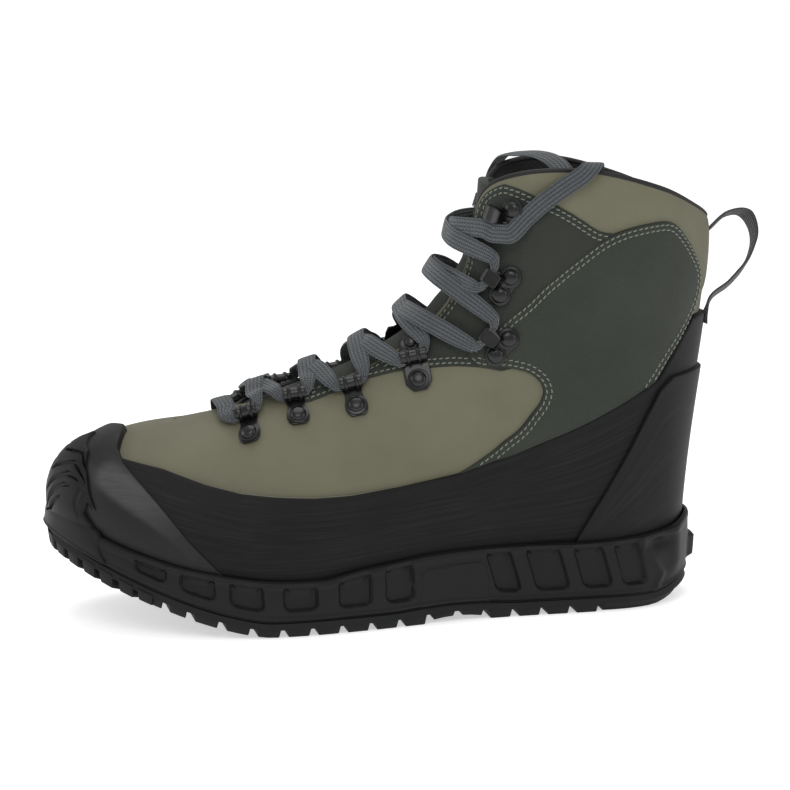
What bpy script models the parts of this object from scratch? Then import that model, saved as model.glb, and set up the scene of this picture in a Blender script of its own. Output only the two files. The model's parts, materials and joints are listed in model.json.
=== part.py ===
# Wading boot for the left foot: toe towards -X, lateral side towards -Y, standing on z = 0.
# The origin lies on the ground under the middle of the heel.
import bpy
import bmesh
from math import cos, pi, sin
from mathutils import Matrix, Vector
from mathutils.bvhtree import BVHTree

# Driving dimensions, in metres.
LAST_LENGTH = 0.300        # feather line, back of the heel to the tip of the toe
BALL_WIDTH = 0.104         # feather line across the ball
INSTEP_HEIGHT = 0.106      # ground to the lower end of the throat
BOOT_HEIGHT = 0.214        # ground to the highest part of the collar
COLLAR_WIDTH = 0.080       # across the collar
SOLE_HEIGHT = 0.028        # ground to the bed of the midsole at the heel
UPPER_WALL = 0.0024
RAND_WALL = 0.0016         # rubber rand over the upper
CAP_WALL = 0.0020          # toe cap
FOXING_WALL = 0.0016       # second layer round the heel, over the rand
BUMPER_WALL = 0.0056       # thickest part of the toe bumper
BUMPER_RISE = 0.0034       # its lower edge above the lip
LIP_RISE = 0.007           # the midsole's lip above its bed
LIP_WALL = 0.0032
LEDGE = 0.0055             # kick ledge at the back of the heel
LUG_DEPTH = 0.0065
TREAD_PLATE = 0.0025
LUG_PITCH = 0.0145
LUG_LENGTH = 0.0100        # of one lug along the sole
INSOLE_WALL = 0.0040
TONGUE_WALL = 0.0055
LACE_WIDTH = 0.0090
LACE_WALL = 0.0018
LACE_END_DIAMETER = 0.0036 # the plain solid of a loose end
METAL_WALL = 0.0011        # lace loops and hooks
RIVET_DIAMETER = 0.0086
GAP = 0.0004               # between pieces that touch
SEAT = 0.0006              # between the upper's curved faces and what is fitted over or inside them
TONGUE_SEAT = 0.0011
TONGUE_START = 4.2         # row of its lower end
TONGUE_SHORT = 0.1         # rows that it stops short of the collar's front corner
TONGUE_LOW = 0.17          # half width at its lower end, share of BALL_WIDTH
TONGUE_WIDEN = 0.12        # further half width at its top
TONGUE_EDGE = 0.45         # thickness at its sides, share of TONGUE_WALL
TONGUE_TIP = 0.0060        # straight piece above the facings
LEDGE_ROW = 16.9           # the kick ledge begins behind this row
LEDGE_ROWS = 0.6           # and is full after so many more
LEDGE_LEVELS = ((0.20, 0.0), (0.28, 1.0), (0.62, 1.0), (0.70, 0.0))   # share of the side's height, of LEDGE
SIDE_SWELL = 0.0010        # of the midsole's side
FOXING_ROW = 12.2          # the foxing lies over the rand behind this row
LUG_TAPER = 0.08
LUGS_ACROSS = (0.0, 0.27, 0.33, 0.67, 0.73, 1.0)
SOLE_INSET = 0.0015        # the outsole's ends inside the midsole's
SOLE_ENDS = (0.004, 0.011) # shares of the length from each end with no lug
UPPER_HEIGHTS = 8
TONGUE_ROWS = 15
TONGUE_COLUMNS = 8

HEEL_TO_ORIGIN = 0.15      # share of the length from the heel's back to the origin

# One row for each rib of the last, from the tip of the toe (row 0) to the back of the heel.
# along, top_along: shares of LAST_LENGTH from the heel's back. lateral, medial, low_out and top_out:
# shares of BALL_WIDTH. floor: share of SOLE_HEIGHT. lip: share of LIP_RISE. low_up, top_drop and instep:
# shares of INSTEP_HEIGHT. shaft: share of BOOT_HEIGHT - INSTEP_HEIGHT. top_lateral, top_medial: shares
# of COLLAR_WIDTH. medial_back: how much further back the medial top lies, share of LAST_LENGTH.
# flare: the sole's edge beyond the feather line, share of LIP_RISE.
COLUMNS = ("along", "lateral", "medial", "floor", "lip", "flare", "low_out", "low_up",
           "top_along", "instep", "shaft", "top_lateral", "top_medial", "medial_back", "top_out", "top_drop")
STATIONS = (
    (1.000, 0.058, 0.058, 1.660, 0.93, 1.20, 0.087, 0.255, 0.823, 0.902, 0.000, 0.062, 0.062, 0.000, 0.433, 0.030),
    (0.992, -0.077, 0.188, 1.625, 0.93, 1.20, 0.085, 0.255, 0.823, 0.902, 0.000, 0.062, 0.062, 0.000, 0.425, 0.026),
    (0.957, -0.231, 0.308, 1.464, 0.95, 1.20, 0.080, 0.250, 0.811, 0.907, 0.000, 0.062, 0.062, 0.000, 0.385, 0.020),
    (0.900, -0.356, 0.404, 1.214, 1.00, 1.18, 0.077, 0.245, 0.793, 0.915, 0.000, 0.062, 0.062, 0.000, 0.340, 0.018),
    (0.823, -0.447, 0.471, 0.982, 1.00, 1.15, 0.067, 0.260, 0.767, 0.931, 0.000, 0.058, 0.058, 0.000, 0.320, 0.018),
    (0.740, -0.495, 0.490, 0.839, 1.00, 1.12, 0.058, 0.283, 0.730, 0.957, 0.000, 0.050, 0.050, 0.000, 0.300, 0.024),
    (0.690, -0.505, 0.481, 0.804, 1.00, 1.10, 0.050, 0.300, 0.703, 0.978, 0.005, -0.062, 0.162, 0.000, 0.270, 0.045),
    (0.633, -0.500, 0.457, 0.796, 1.00, 1.05, 0.042, 0.330, 0.643, 1.000, 0.028, -0.112, 0.200, 0.000, 0.240, 0.085),
    (0.543, -0.466, 0.404, 0.875, 1.00, 0.95, 0.029, 0.358, 0.557, 1.000, 0.093, -0.156, 0.212, 0.000, 0.195, 0.132),
    (0.450, -0.418, 0.356, 0.964, 1.00, 0.80, 0.012, 0.380, 0.467, 1.000, 0.222, -0.181, 0.212, 0.004, 0.192, 0.189),
    (0.377, -0.385, 0.332, 1.000, 1.00, 0.75, 0.005, 0.396, 0.417, 1.000, 0.343, -0.194, 0.212, 0.010, 0.202, 0.245),
    (0.323, -0.365, 0.322, 1.000, 1.00, 0.78, 0.005, 0.425, 0.380, 1.000, 0.481, -0.200, 0.212, 0.017, 0.208, 0.283),
    (0.277, -0.356, 0.317, 1.000, 1.00, 0.82, 0.005, 0.453, 0.357, 1.000, 0.648, -0.206, 0.212, 0.024, 0.212, 0.321),
    (0.230, -0.351, 0.317, 1.000, 1.00, 0.86, 0.008, 0.472, 0.340, 1.000, 0.898, -0.225, 0.225, 0.030, 0.192, 0.425),
    (0.170, -0.346, 0.322, 1.000, 1.00, 0.88, 0.010, 0.495, 0.287, 1.000, 0.991, -0.400, 0.388, 0.026, 0.067, 0.519),
    (0.100, -0.332, 0.312, 1.036, 1.05, 0.88, 0.015, 0.519, 0.177, 1.000, 1.000, -0.500, 0.488, 0.010, -0.010, 0.566),
    (0.040, -0.250, 0.240, 1.070, 1.25, 0.86, 0.022, 0.495, 0.057, 1.000, 0.917, -0.450, 0.438, 0.000, -0.029, 0.519),
    (0.008, -0.130, 0.130, 1.107, 1.60, 0.84, 0.024, 0.472, -0.023, 1.000, 0.815, -0.250, 0.250, 0.000, -0.010, 0.490),
    (0.000, 0.000, 0.000, 1.107, 1.70, 0.84, 0.019, 0.472, -0.057, 1.000, 0.759, 0.000, 0.000, 0.000, 0.010, 0.472),
)
HEEL_ROW = len(STATIONS) - 1
THROAT_ROW = 5             # the throat opens behind this row
COLLAR_ROW = 13            # the front corner of the collar
LATERAL, MEDIAL = -1, 1
RIBS_PER_ROW = 2           # columns of facets between two rows of the table
FINE_ROWS = 4.6            # overlays have twice as many in front of this row

# Upper edge of the rand and front edge of the heel foxing, seen from the side.
# along: share of LAST_LENGTH. height: share of INSTEP_HEIGHT.
RAND_TOP = ((1.05, 0.83), (0.923, 0.768), (0.860, 0.728), (0.797, 0.664), (0.743, 0.624), (0.677, 0.608),
            (0.627, 0.600), (0.570, 0.603), (0.480, 0.632), (0.390, 0.672), (0.300, 0.748), (0.210, 0.844),
            (0.177, 0.884), (0.083, 1.018), (0.057, 1.057), (0.017, 1.226), (-0.010, 1.330), (-0.080, 1.345))
FOXING_TOP = ((1.05, 0.26), (0.205, 0.26), (0.193, 0.36), (0.143, 0.585), (0.083, 0.887), (0.057, 1.02),
              (0.033, 1.075), (-0.08, 1.105))
CAP_EDGE = ((1.05, 1.50), (0.936, 0.96), (0.930, 0.85), (0.923, 0.768), (0.900, 0.670), (0.877, 0.566),
            (0.840, 0.434), (0.770, 0.270), (0.500, -0.400))
BUMPER_TOP = ((0.0, 0.82), (1.0, 0.77), (1.5, 0.68), (2.1, 0.52))     # row, height
BUMPER_THIN_TOP = 0.75     # wall lost towards its top
BUMPER_THIN_SIDE = 0.45    # and towards its sides
BUMPER_HEIGHTS = 6

# Lace loops and hooks, from the toe: kind, row, distance from the middle of the throat.
FITTINGS = (("loop", 5.35, 0.0260), ("loop", 7.00, 0.0255), ("loop", 8.00, 0.0285), ("loop", 9.05, 0.0320),
            ("hook", 10.50, 0.0480), ("hook", 11.65, 0.0360), ("hook", 12.75, 0.0330))
LOOP_EYE = 0.0070          # from a loop's middle to its eye
LOOP_RIVET = 0.0040
LOOP_WIDTH = 0.0110
HOOK_BEND = 0.0050
HOOK_WIDTH = 0.0075
LACE_SEAT = 0.0016         # middle of a lace above the facings
LACE_LIFT = 0.0028         # further rise over the middle of the throat
BAR_BACK = 0.80            # rows from the lowest loops forward to the bar
BAR_SHIFT = 1.6            # the first crossing starts this much further behind the bar
LACE_SHIFT = 0.66          # of a lace's width, from a fitting's middle to the lace beside it
LACE_STEPS = 8
EYE_RADIUS = 0.0026        # of a lace loop's curled eye
EYE_TURN = 1.72            # of half a turn
HOOK_RADIUS = 0.0025
HOOK_LIP = 0.0006          # rise of the tip of a hook
HOOK_FOOT = 0.0020         # end of the hook's strip under its plate
HOOK_RIVET = 0.0042        # from the hook's middle
HOOK_RIVET_STEP = 0.0050   # to either side
HOOK_PLATE_MIDDLE = 0.0035
HOOK_PLATE_LENGTH = 0.0100
HOOK_PLATE_WIDTH = 0.0185
RIVET_DEPTH = 1.5          # of METAL_WALL
RIVET_CROWN = 0.66         # top of a rivet, share of its diameter
SEAT_GAP = 0.0003          # clearance of a fitting once it is seated on the upper
SEAT_STEPS = 6
SEAT_SHARE = 0.9           # of the gap that is left, closed in one step
SEAT_REACH = 0.02          # the carrier's corners nearer than this are measured
FITTING_SEAT = 0.0012      # a fitting above the curved facing, before it is seated

# Routes of the loose ends of the lace, in metres.
LATERAL_END = ((-0.0400, -0.0374, 0.1925), (-0.0320, -0.0398, 0.2000), (-0.0220, -0.0418, 0.2075),
               (-0.0140, -0.0434, 0.2130), (-0.0095, -0.0426, 0.2168), (-0.0065, -0.0385, 0.2182),
               (-0.0050, -0.0348, 0.2140), (-0.0045, -0.0342, 0.2050), (-0.0040, -0.0340, 0.1960),
               (-0.0035, -0.0338, 0.1860))
MEDIAL_END = ((-0.0405, 0.0330, 0.2030), (-0.0380, 0.0335, 0.2090), (-0.0340, 0.0290, 0.2165),
              (-0.0280, 0.0190, 0.2185), (-0.0220, 0.0080, 0.2190), (-0.0175, -0.0040, 0.2170),
              (-0.0145, -0.0140, 0.2120), (-0.0130, -0.0190, 0.2040), (-0.0120, -0.0210, 0.1945),
              (-0.0115, -0.0215, 0.1850))
# Middle line of the pull loop: along from the heel's back, height as a share of BOOT_HEIGHT.
PULL_LOOP = ((-0.0600, 0.845), (-0.090, 0.880), (-0.122, 0.882), (-0.139, 0.835), (-0.130, 0.775),
             (-0.100, 0.722), (-0.0690, 0.690), (-0.0590, 0.660))
PULL_LOOP_WIDTH = 0.015
PULL_LOOP_WALL = 0.0018


def row(index, side):
    """One rib's values, with the rows beyond the toe and the heel taken from the other side."""
    if index < 0:
        index, side = -index, -side
    if index > HEEL_ROW:
        index, side = 2 * HEEL_ROW - index, -side
    values = dict(zip(COLUMNS, STATIONS[index]))
    values["foot_y"] = values["lateral"] if side == LATERAL else values["medial"]
    values["top_y"] = values["top_lateral"] if side == LATERAL else values["top_medial"]
    return values


def smooth(before, start, end, after, share):
    """Catmull-Rom value between start and end."""
    slope_in = (end - before) / 2
    slope_out = (after - start) / 2
    rest = 1 - share
    return (start * (1 + 2 * share) * rest ** 2 + slope_in * share * rest ** 2
            + end * (3 - 2 * share) * share ** 2 - slope_out * rest * share ** 2)


def station(v, side):
    """Values at the place v among the rows; on the ridge both sides share their top."""
    first = min(int(v // 1), HEEL_ROW)
    share = v - first
    rows = [row(first + step, side) for step in (-1, 0, 1, 2)]
    values = {key: smooth(rows[0][key], rows[1][key], rows[2][key], rows[3][key], share)
              for key in rows[0]}
    if -THROAT_ROW <= v <= THROAT_ROW:
        for key in ("top_y", "top_along", "instep", "shaft"):
            values[key] = rows[1][key] * (1 - share) + rows[2][key] * share
    return values


def from_heel(along):
    """X of a share of the length."""
    return (HEEL_TO_ORIGIN - along) * LAST_LENGTH


def foot_point(v, side):
    here = station(v, side)
    return Vector((from_heel(here["along"]), here["foot_y"] * BALL_WIDTH, here["floor"] * SOLE_HEIGHT))


def outline_normal(v, side):
    """Level direction that points out of the feather line."""
    if v < 0:
        v, side = -v, -side
    step = 0.02
    tangent = foot_point(v + step, side) - foot_point(v - step, side)
    return Vector((tangent.y, -tangent.x, 0)).normalized() * -side


def base(v, side, h):
    """Point on the outside of the upper: h is 0 at the feather line and 1 at the top edge."""
    if v < 0:
        v, side = -v, -side
    if v > HEEL_ROW:
        v, side = 2 * HEEL_ROW - v, -side
    here = station(v, side)
    out = outline_normal(v, side)
    up = Vector((0, 0, 1))
    foot = foot_point(v, side)
    back = here["medial_back"] if side == MEDIAL else 0.0
    top = Vector((from_heel(here["top_along"] - back), here["top_y"] * COLLAR_WIDTH,
                  here["instep"] * INSTEP_HEIGHT + here["shaft"] * (BOOT_HEIGHT - INSTEP_HEIGHT)))
    low = foot + out * here["low_out"] * BALL_WIDTH + up * here["low_up"] * INSTEP_HEIGHT
    high = top + out * here["top_out"] * BALL_WIDTH - up * here["top_drop"] * INSTEP_HEIGHT
    rest = 1 - h
    return foot * rest ** 3 + low * 3 * h * rest ** 2 + high * 3 * h ** 2 * rest + top * h ** 3


def slopes(v, side, h):
    step = 0.01
    along = (base(v + step, side, h) - base(v - step, side, h)) / (2 * step)
    up = (base(v, side, h + step) - base(v, side, h - step)) / (2 * step)
    return along, up


def normal(v, side, h):
    """Direction out of the upper."""
    along, up = slopes(v, side, h)
    return along.cross(up).normalized() * side * -1


def surface(v, side, h, off=0.0):
    return base(v, side, h) + normal(v, side, h) * off


def height_on_rib(v, side, height):
    """h at which a rib reaches a height."""
    low, high = 0.0, 0.97
    for _ in range(24):
        middle = (low + high) / 2
        if base(v, side, middle).z < height:
            low = middle
        else:
            high = middle
    return low


def table_value(table, place):
    """Straight-line reading of a table of pairs that run from the toe to the heel."""
    for (start, start_value), (end, end_value) in zip(table, table[1:]):
        if place >= end:
            share = (place - start) / (end - start)
            return start_value + (end_value - start_value) * share
    return table[-1][1]


def row_value(table, place):
    """Reading of a table of pairs that run from low to high."""
    for (start, start_value), (end, end_value) in zip(table, table[1:]):
        if place <= end:
            return start_value + (end_value - start_value) * (place - start) / (end - start)
    return table[-1][1]


def line_on_rib(v, side, line_height):
    """h at which a rib meets a line seen from the side, given as height of a place along."""
    low, high = 0.0, 0.97
    for _ in range(24):
        middle = (low + high) / 2
        point = base(v, side, middle)
        along = HEEL_TO_ORIGIN - point.x / LAST_LENGTH
        if point.z < line_height(along) * INSTEP_HEIGHT:
            low = middle
        else:
            high = middle
    return low


def rand_height(along):
    return table_value(RAND_TOP, along)


def foxing_height(along):
    return table_value(FOXING_TOP, along)


def cap_height(along):
    return table_value(CAP_EDGE, along)


def above_lip(v, side, rise=0.0):
    """h on a rib at the midsole's lip, or a little above or below it."""
    here = station(v, side)
    return height_on_rib(v, side, here["floor"] * SOLE_HEIGHT + here["lip"] * LIP_RISE + rise)


# The throat: a level bridge from facing to facing, and a walk out over the facings.

def edge_frame(v, side):
    """Point on the facing's edge, and the direction that leads over the throat."""
    out = normal(v, side, 1)
    over = Vector((0, -side, 0))
    return base(v, side, 1), (over - out * over.dot(out)).normalized()


def walk(v, side, distance):
    """Place on the facing at a distance from its edge."""
    h = 1.0
    heading = -edge_frame(v, side)[1]
    paces = 5
    for _ in range(paces):
        along, up = slopes(v, side, h)
        a, b, c = along.dot(along), along.dot(up), up.dot(up)
        p, q = along.dot(heading), up.dot(heading)
        det = a * c - b * b
        v += (c * p - b * q) / det * distance / paces
        h += (a * q - b * p) / det * distance / paces
        out = normal(v, side, h)
        heading = (heading - out * heading.dot(out)).normalized()
    return v, h


def throat_point(v, reach):
    """Point over the throat or a facing; reach is measured across, minus to the lateral side."""
    left, left_over = edge_frame(v, LATERAL)
    right, right_over = edge_frame(v, MEDIAL)
    width = (right - left).length
    if abs(reach) > width / 2:
        side = LATERAL if reach < 0 else MEDIAL
        place_v, h = walk(v, side, abs(reach) - width / 2)
        return base(place_v, side, h)
    share = 0.5 + reach / max(width, 1e-6)
    pull = width * 0.9
    rest = 1 - share
    return (left * (1 + 2 * share) * rest ** 2 + left_over * pull * share * rest ** 2
            + right * (3 - 2 * share) * share ** 2 + right_over * pull * rest * share ** 2)


def over_throat(v, reach, off=0.0):
    """Point and outward direction over the throat."""
    point = throat_point(v, reach)
    along = throat_point(v + 0.05, reach) - throat_point(v - 0.05, reach)
    across = throat_point(v, reach + 0.0008) - throat_point(v, reach - 0.0008)
    out = along.cross(across).normalized()
    return point + out * off, out


# Meshes and objects.

def material(name, colour, roughness, metallic=0.0):
    made = bpy.data.materials.new(name)
    made.use_nodes = True
    shader = made.node_tree.nodes["Principled BSDF"]
    shader.inputs["Base Color"].default_value = (*colour, 1)
    shader.inputs["Roughness"].default_value = roughness
    shader.inputs["Metallic"].default_value = metallic
    return made


def new_object(name, mesh, finish):
    piece = bpy.data.objects.new(name, mesh)
    mesh.materials.clear()
    mesh.materials.append(finish)
    mesh.shade_smooth()
    mesh.set_sharp_from_angle(angle=0.7)
    parts_collection.objects.link(piece)
    return piece


def finish_mesh(name, shape):
    """Merge a bmesh's doubles, point its faces out and turn it into a mesh."""
    bmesh.ops.remove_doubles(shape, verts=shape.verts, dist=1e-6)
    bmesh.ops.dissolve_degenerate(shape, edges=shape.edges, dist=1e-6)
    bmesh.ops.recalc_face_normals(shape, faces=shape.faces)
    mesh = bpy.data.meshes.new(name)
    shape.to_mesh(mesh)
    shape.free()
    return mesh


def grid_faces(shape, grid, closed=False):
    """Faces between neighbouring rows of a grid of vertices; doubles are left out."""
    for near, far in zip(grid, grid[1:]):
        count = len(near)
        for index in range(count if closed else count - 1):
            after = (index + 1) % count
            corners = []
            for vertex in (near[index], near[after], far[after], far[index]):
                if all((vertex.co - other.co).length > 1e-6 for other in corners):
                    corners.append(vertex)
            if len(corners) > 2:
                shape.faces.new(corners)


def add_grid(shape, rows):
    return [[shape.verts.new(point) for point in points] for points in rows]


def slab(name, outer, inner, finish):
    """Closed sheet between two grids of points of the same size."""
    shape = bmesh.new()
    top = add_grid(shape, outer)
    bottom = add_grid(shape, inner)
    grid_faces(shape, top)
    grid_faces(shape, bottom)
    for edge_top, edge_bottom in ((top[0], bottom[0]), (top[-1], bottom[-1]),
                                  ([line[0] for line in top], [line[0] for line in bottom]),
                                  ([line[-1] for line in top], [line[-1] for line in bottom])):
        grid_faces(shape, [edge_top, edge_bottom])
    return new_object(name, finish_mesh(name, shape), finish)


def girdle(columns, rows, low, high, off):
    """Grid over the upper: columns are (v, side) places, low and high give h on each of them."""
    return [[surface(v, side, low(v, side) + (high(v, side) - low(v, side)) * share / rows, off)
             for share in range(rows + 1)] for v, side in columns]


def ribs_between(start, end):
    """The upper's own columns between two places, halved at the toe, with both places."""
    steps = HEEL_ROW * RIBS_PER_ROW * 2
    places = [step / (2 * RIBS_PER_ROW) for step in range(steps + 1)]
    inner = [place for index, place in enumerate(places)
             if start + 0.06 < place < end - 0.06 and (index % 2 == 0 or place < FINE_ROWS)]
    return [start] + inner + [end]


def round_toe(lateral_end, medial_end):
    """Places round the toe, from a row on the lateral side to one on the medial side."""
    return ([(v, LATERAL) for v in reversed(ribs_between(0, lateral_end))]
            + [(v, MEDIAL) for v in ribs_between(0, medial_end)[1:]])


def round_heel(lateral_start, medial_start):
    """Places round the heel, from a row on the lateral side to one on the medial side."""
    return ([(v, LATERAL) for v in ribs_between(lateral_start, HEEL_ROW)]
            + [(v, MEDIAL) for v in reversed(ribs_between(medial_start, HEEL_ROW)[:-1])])


# The upper, tongue and insole.

def make_upper(finish):
    """Open surface from the feather line to the ridge, throat and collar, given its wall inwards."""
    shape = bmesh.new()
    for side in (LATERAL, MEDIAL):
        places = [step / RIBS_PER_ROW for step in range(HEEL_ROW * RIBS_PER_ROW + 1)]
        rows = [[base(v, side, h / UPPER_HEIGHTS) for h in range(UPPER_HEIGHTS + 1)] for v in places]
        grid_faces(shape, add_grid(shape, rows))
    upper = new_object("upper", finish_mesh("upper", shape), finish)
    wall = upper.modifiers.new("wall", "SOLIDIFY")
    wall.thickness = UPPER_WALL
    wall.offset = -1
    wall.use_even_offset = False
    return upper


def make_tongue(finish):
    """Padded sheet under the facings, from below the vamp to above the collar's front."""
    start, end = TONGUE_START, COLLAR_ROW - TONGUE_SHORT
    outer, inner = [], []
    for step in range(TONGUE_ROWS):
        share = step / (TONGUE_ROWS - 1)
        v = start + (end - start) * share
        reach = BALL_WIDTH * (TONGUE_LOW + TONGUE_WIDEN * share)
        line_out, line_in = [], []
        for column in range(TONGUE_COLUMNS + 1):
            across = reach * (2 * column / TONGUE_COLUMNS - 1)
            thin = TONGUE_EDGE + (1 - TONGUE_EDGE) * sin(pi * column / TONGUE_COLUMNS)
            point, out = over_throat(v, across)
            line_out.append(point - out * (UPPER_WALL + TONGUE_SEAT))
            line_in.append(point - out * (UPPER_WALL + TONGUE_SEAT + TONGUE_WALL * thin))
        outer.append(line_out)
        inner.append(line_in)
    for grid in (outer, inner):
        grid.append([tip + (tip - before).normalized() * TONGUE_TIP for tip, before in zip(grid[-1], grid[-2])])
    return slab("tongue", outer, inner, finish)


def ring(places, off, height):
    """Points round the feather line, set off level, each at the height of its place."""
    points = []
    for v, side in places:
        point = foot_point(v, side) + outline_normal(v, side) * off(v, side)
        point.z = height(v, side, point)
        points.append(point)
    return points


def loop_places(steps_of_row):
    lateral = [(step / steps_of_row, LATERAL) for step in range(HEEL_ROW * steps_of_row)]
    medial = [(HEEL_ROW - step / steps_of_row, MEDIAL) for step in range(HEEL_ROW * steps_of_row)]
    return lateral + medial


def ladder(shape, loop):
    """Close a loop that runs down one side and back up the other with rungs between the sides."""
    half = len(loop) // 2
    grid_faces(shape, [[loop[index] for index in range(half + 1)],
                       [loop[-index % len(loop)] for index in range(half + 1)]])


def ring_solid(name, rings, finish):
    """Closed solid through rings of points, with ladder-filled ends."""
    shape = bmesh.new()
    grid = add_grid(shape, rings)
    grid_faces(shape, grid, closed=True)
    ladder(shape, grid[0])
    ladder(shape, grid[-1])
    return new_object(name, finish_mesh(name, shape), finish)


def make_insole(finish):
    places = loop_places(2)
    inset = -(UPPER_WALL + 3 * SEAT)

    def bed(v, side, point):
        return foot_point(v, side).z + GAP

    def top(v, side, point):
        return bed(v, side, point) + INSOLE_WALL

    rings = [ring(places, lambda v, side: inset, bed), ring(places, lambda v, side: inset, top)]
    return ring_solid("insole", rings, finish)


# The sole.

def ground(along):
    """Height of the lugs' faces: flat under heel and forefoot, raised at toe, waist and heel's back."""
    toe_start, toe_span, toe_rise = 0.700, 0.320, 1.29
    heel_start, heel_span, heel_rise = 0.060, 0.090, 0.28
    waist_middle, waist_half, waist_rise = 0.395, 0.055, 0.10
    rise = 0.0
    if along > toe_start:
        rise = toe_rise * ((along - toe_start) / toe_span) ** 1.5
    elif along < heel_start:
        rise = heel_rise * ((heel_start - along) / heel_span) ** 1.4
    elif abs(along - waist_middle) < waist_half:
        rise = waist_rise * cos((along - waist_middle) / waist_half * pi / 2) ** 0.5
    return rise * SOLE_HEIGHT


def share_along(point):
    return HEEL_TO_ORIGIN - point.x / LAST_LENGTH


def flare(v, side):
    return station(v, side)["flare"] * LIP_RISE


def tread_top(along):
    return ground_smooth(along) + LUG_DEPTH + TREAD_PLATE


def ground_smooth(along):
    """The plate's line: as the ground, without the waist's step."""
    if 0.30 < along < 0.50:
        return SOLE_HEIGHT * 0.05 * cos((along - 0.40) / 0.10 * pi / 2)
    return ground(along)


def cup_seat(v):
    """Room in the midsole's cup for what lies over the upper: more where the foxing doubles the rand."""
    cap = SEAT + CAP_WALL + SEAT
    foxing = SEAT + RAND_WALL + GAP + FOXING_WALL + SEAT
    share = min(max(v - FOXING_ROW, 0.0), 1.0)
    return cap + (foxing - cap) * share


def ledge(v):
    """How far the kick ledge stands out of the back of the heel."""
    share = min(max((v - LEDGE_ROW) / LEDGE_ROWS, 0.0), 1.0)
    return LEDGE * share * share * (3 - 2 * share)


def make_midsole(finish):
    """Cup: a side that flares to the sole's edge, a lip round the rand, and a bed under the upper."""
    places = loop_places(2)

    def at_lip(wall):
        points = []
        for v, side in places:
            point = surface(v, side, above_lip(v, side), cup_seat(v) + wall)
            point.z = foot_point(v, side).z + station(v, side)["lip"] * LIP_RISE
            points.append(point)
        return points

    def bottom(v, side, point):
        return tread_top(share_along(point)) + GAP

    low = ring(places, flare, bottom)
    high = at_lip(LIP_WALL)
    rings = [low]
    for share, out in LEDGE_LEVELS:
        rings.append([start.lerp(end, share) + outline_normal(v, side) * (SIDE_SWELL + out * ledge(v))
                      for start, end, (v, side) in zip(low, high, places)])
    rings += [high, at_lip(0.0)]
    rings.append(ring(places, lambda v, side: cup_seat(v), lambda v, side, point: foot_point(v, side).z - GAP))
    return ring_solid("midsole", rings, finish)


def sole_edges():
    """The outsole's outline on each side, as points that run from heel to toe."""
    edges = {}
    for side in (LATERAL, MEDIAL):
        points = []
        for step in range(HEEL_ROW * 6, -1, -1):
            v = step / 6
            point = foot_point(v, side) + outline_normal(v, side) * flare(v, side)
            points.append((share_along(point), point.y))
        edges[side] = points
    return edges


def edge_at(points, along):
    for (start, start_y), (end, end_y) in zip(points, points[1:]):
        if start <= along <= end:
            return start_y + (end_y - start_y) * (along - start) / max(end - start, 1e-9)
    return points[-1][1] if along > points[-1][0] else points[0][1]


def make_outsole(finish):
    """Plate with a lug in every second cell of a grid, three lugs across."""
    edges = sole_edges()
    heel_end = edges[LATERAL][0][0] + SOLE_INSET / LAST_LENGTH
    toe_end = edges[LATERAL][-1][0] - SOLE_INSET / LAST_LENGTH
    lug = LUG_LENGTH / LAST_LENGTH
    pitch = LUG_PITCH / LAST_LENGTH
    cuts = []
    plain = SOLE_ENDS[-1] + 0.001
    centre = HEEL_TO_ORIGIN
    first = -int((centre - heel_end) / pitch)
    last = int((toe_end - centre) / pitch)
    for index in range(first, last + 1):
        middle = centre + index * pitch
        for place, is_lug in ((middle - lug / 2, True), (middle + lug / 2, False)):
            if heel_end + plain < place < toe_end - plain:
                cuts.append((place, is_lug))
    cuts = ([(heel_end + share, False) for share in (0.0,) + SOLE_ENDS] + cuts
            + [(toe_end - share, False) for share in SOLE_ENDS[::-1] + (0.0,)])
    across = LUGS_ACROSS
    shape = bmesh.new()
    top, bottom = [], []
    for along, _ in cuts:
        left, right = edge_at(edges[LATERAL], along), edge_at(edges[MEDIAL], along)
        x = from_heel(along)
        top.append([shape.verts.new((x, y, tread_top(along))) for y in (left, right)])
        bottom.append([shape.verts.new((x, left + (right - left) * share, tread_top(along) - TREAD_PLATE))
                       for share in across])
    for index in range(len(cuts) - 1):
        shape.faces.new((top[index][0], top[index][1], top[index + 1][1], top[index + 1][0]))
        for column, edge in ((0, 0), (-1, 1)):
            shape.faces.new((top[index][edge], top[index + 1][edge],
                             bottom[index + 1][column], bottom[index][column]))
    for end in (0, -1):
        shape.faces.new([top[end][0], top[end][1]] + list(reversed(bottom[end])))
    lugs = []
    for index in range(len(cuts) - 1):
        for column in range(len(across) - 1):
            face = shape.faces.new((bottom[index][column], bottom[index][column + 1],
                                    bottom[index + 1][column + 1], bottom[index + 1][column]))
            if cuts[index][1] and column % 2 == 0:
                lugs.append(face)
    bmesh.ops.recalc_face_normals(shape, faces=shape.faces)
    for face in bmesh.ops.extrude_discrete_faces(shape, faces=lugs)["faces"]:
        middle = face.calc_center_median()
        for corner in face.verts:
            corner.co += (middle - corner.co) * LUG_TAPER
            corner.co.z = ground(share_along(corner.co))
    return new_object("outsole", finish_mesh("outsole", shape), finish)


# The rubber over the upper.

def foot_h(v, side):
    """h where an overlay starts, a little above the bed of the midsole."""
    return above_lip(v, side, -0.6 * LIP_RISE)


def cap_h(v, side):
    return line_on_rib(v, side, cap_height)


def rand_h(v, side):
    return line_on_rib(v, side, rand_height)


def foxing_h(v, side):
    return line_on_rib(v, side, foxing_height)


def row_where(side, start, end, holds):
    """Row between start and end at which something begins to hold."""
    for _ in range(20):
        middle = (start + end) / 2
        if holds(middle, side):
            end = middle
        else:
            start = middle
    return end


def cap_end(side):
    return row_where(side, 2, 8, lambda v, side: cap_h(v, side) < foot_h(v, side) + 0.03)


def rand_front(side):
    return row_where(side, 1, 6, lambda v, side: rand_h(v, side) > cap_h(v, side) + 0.05)


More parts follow.
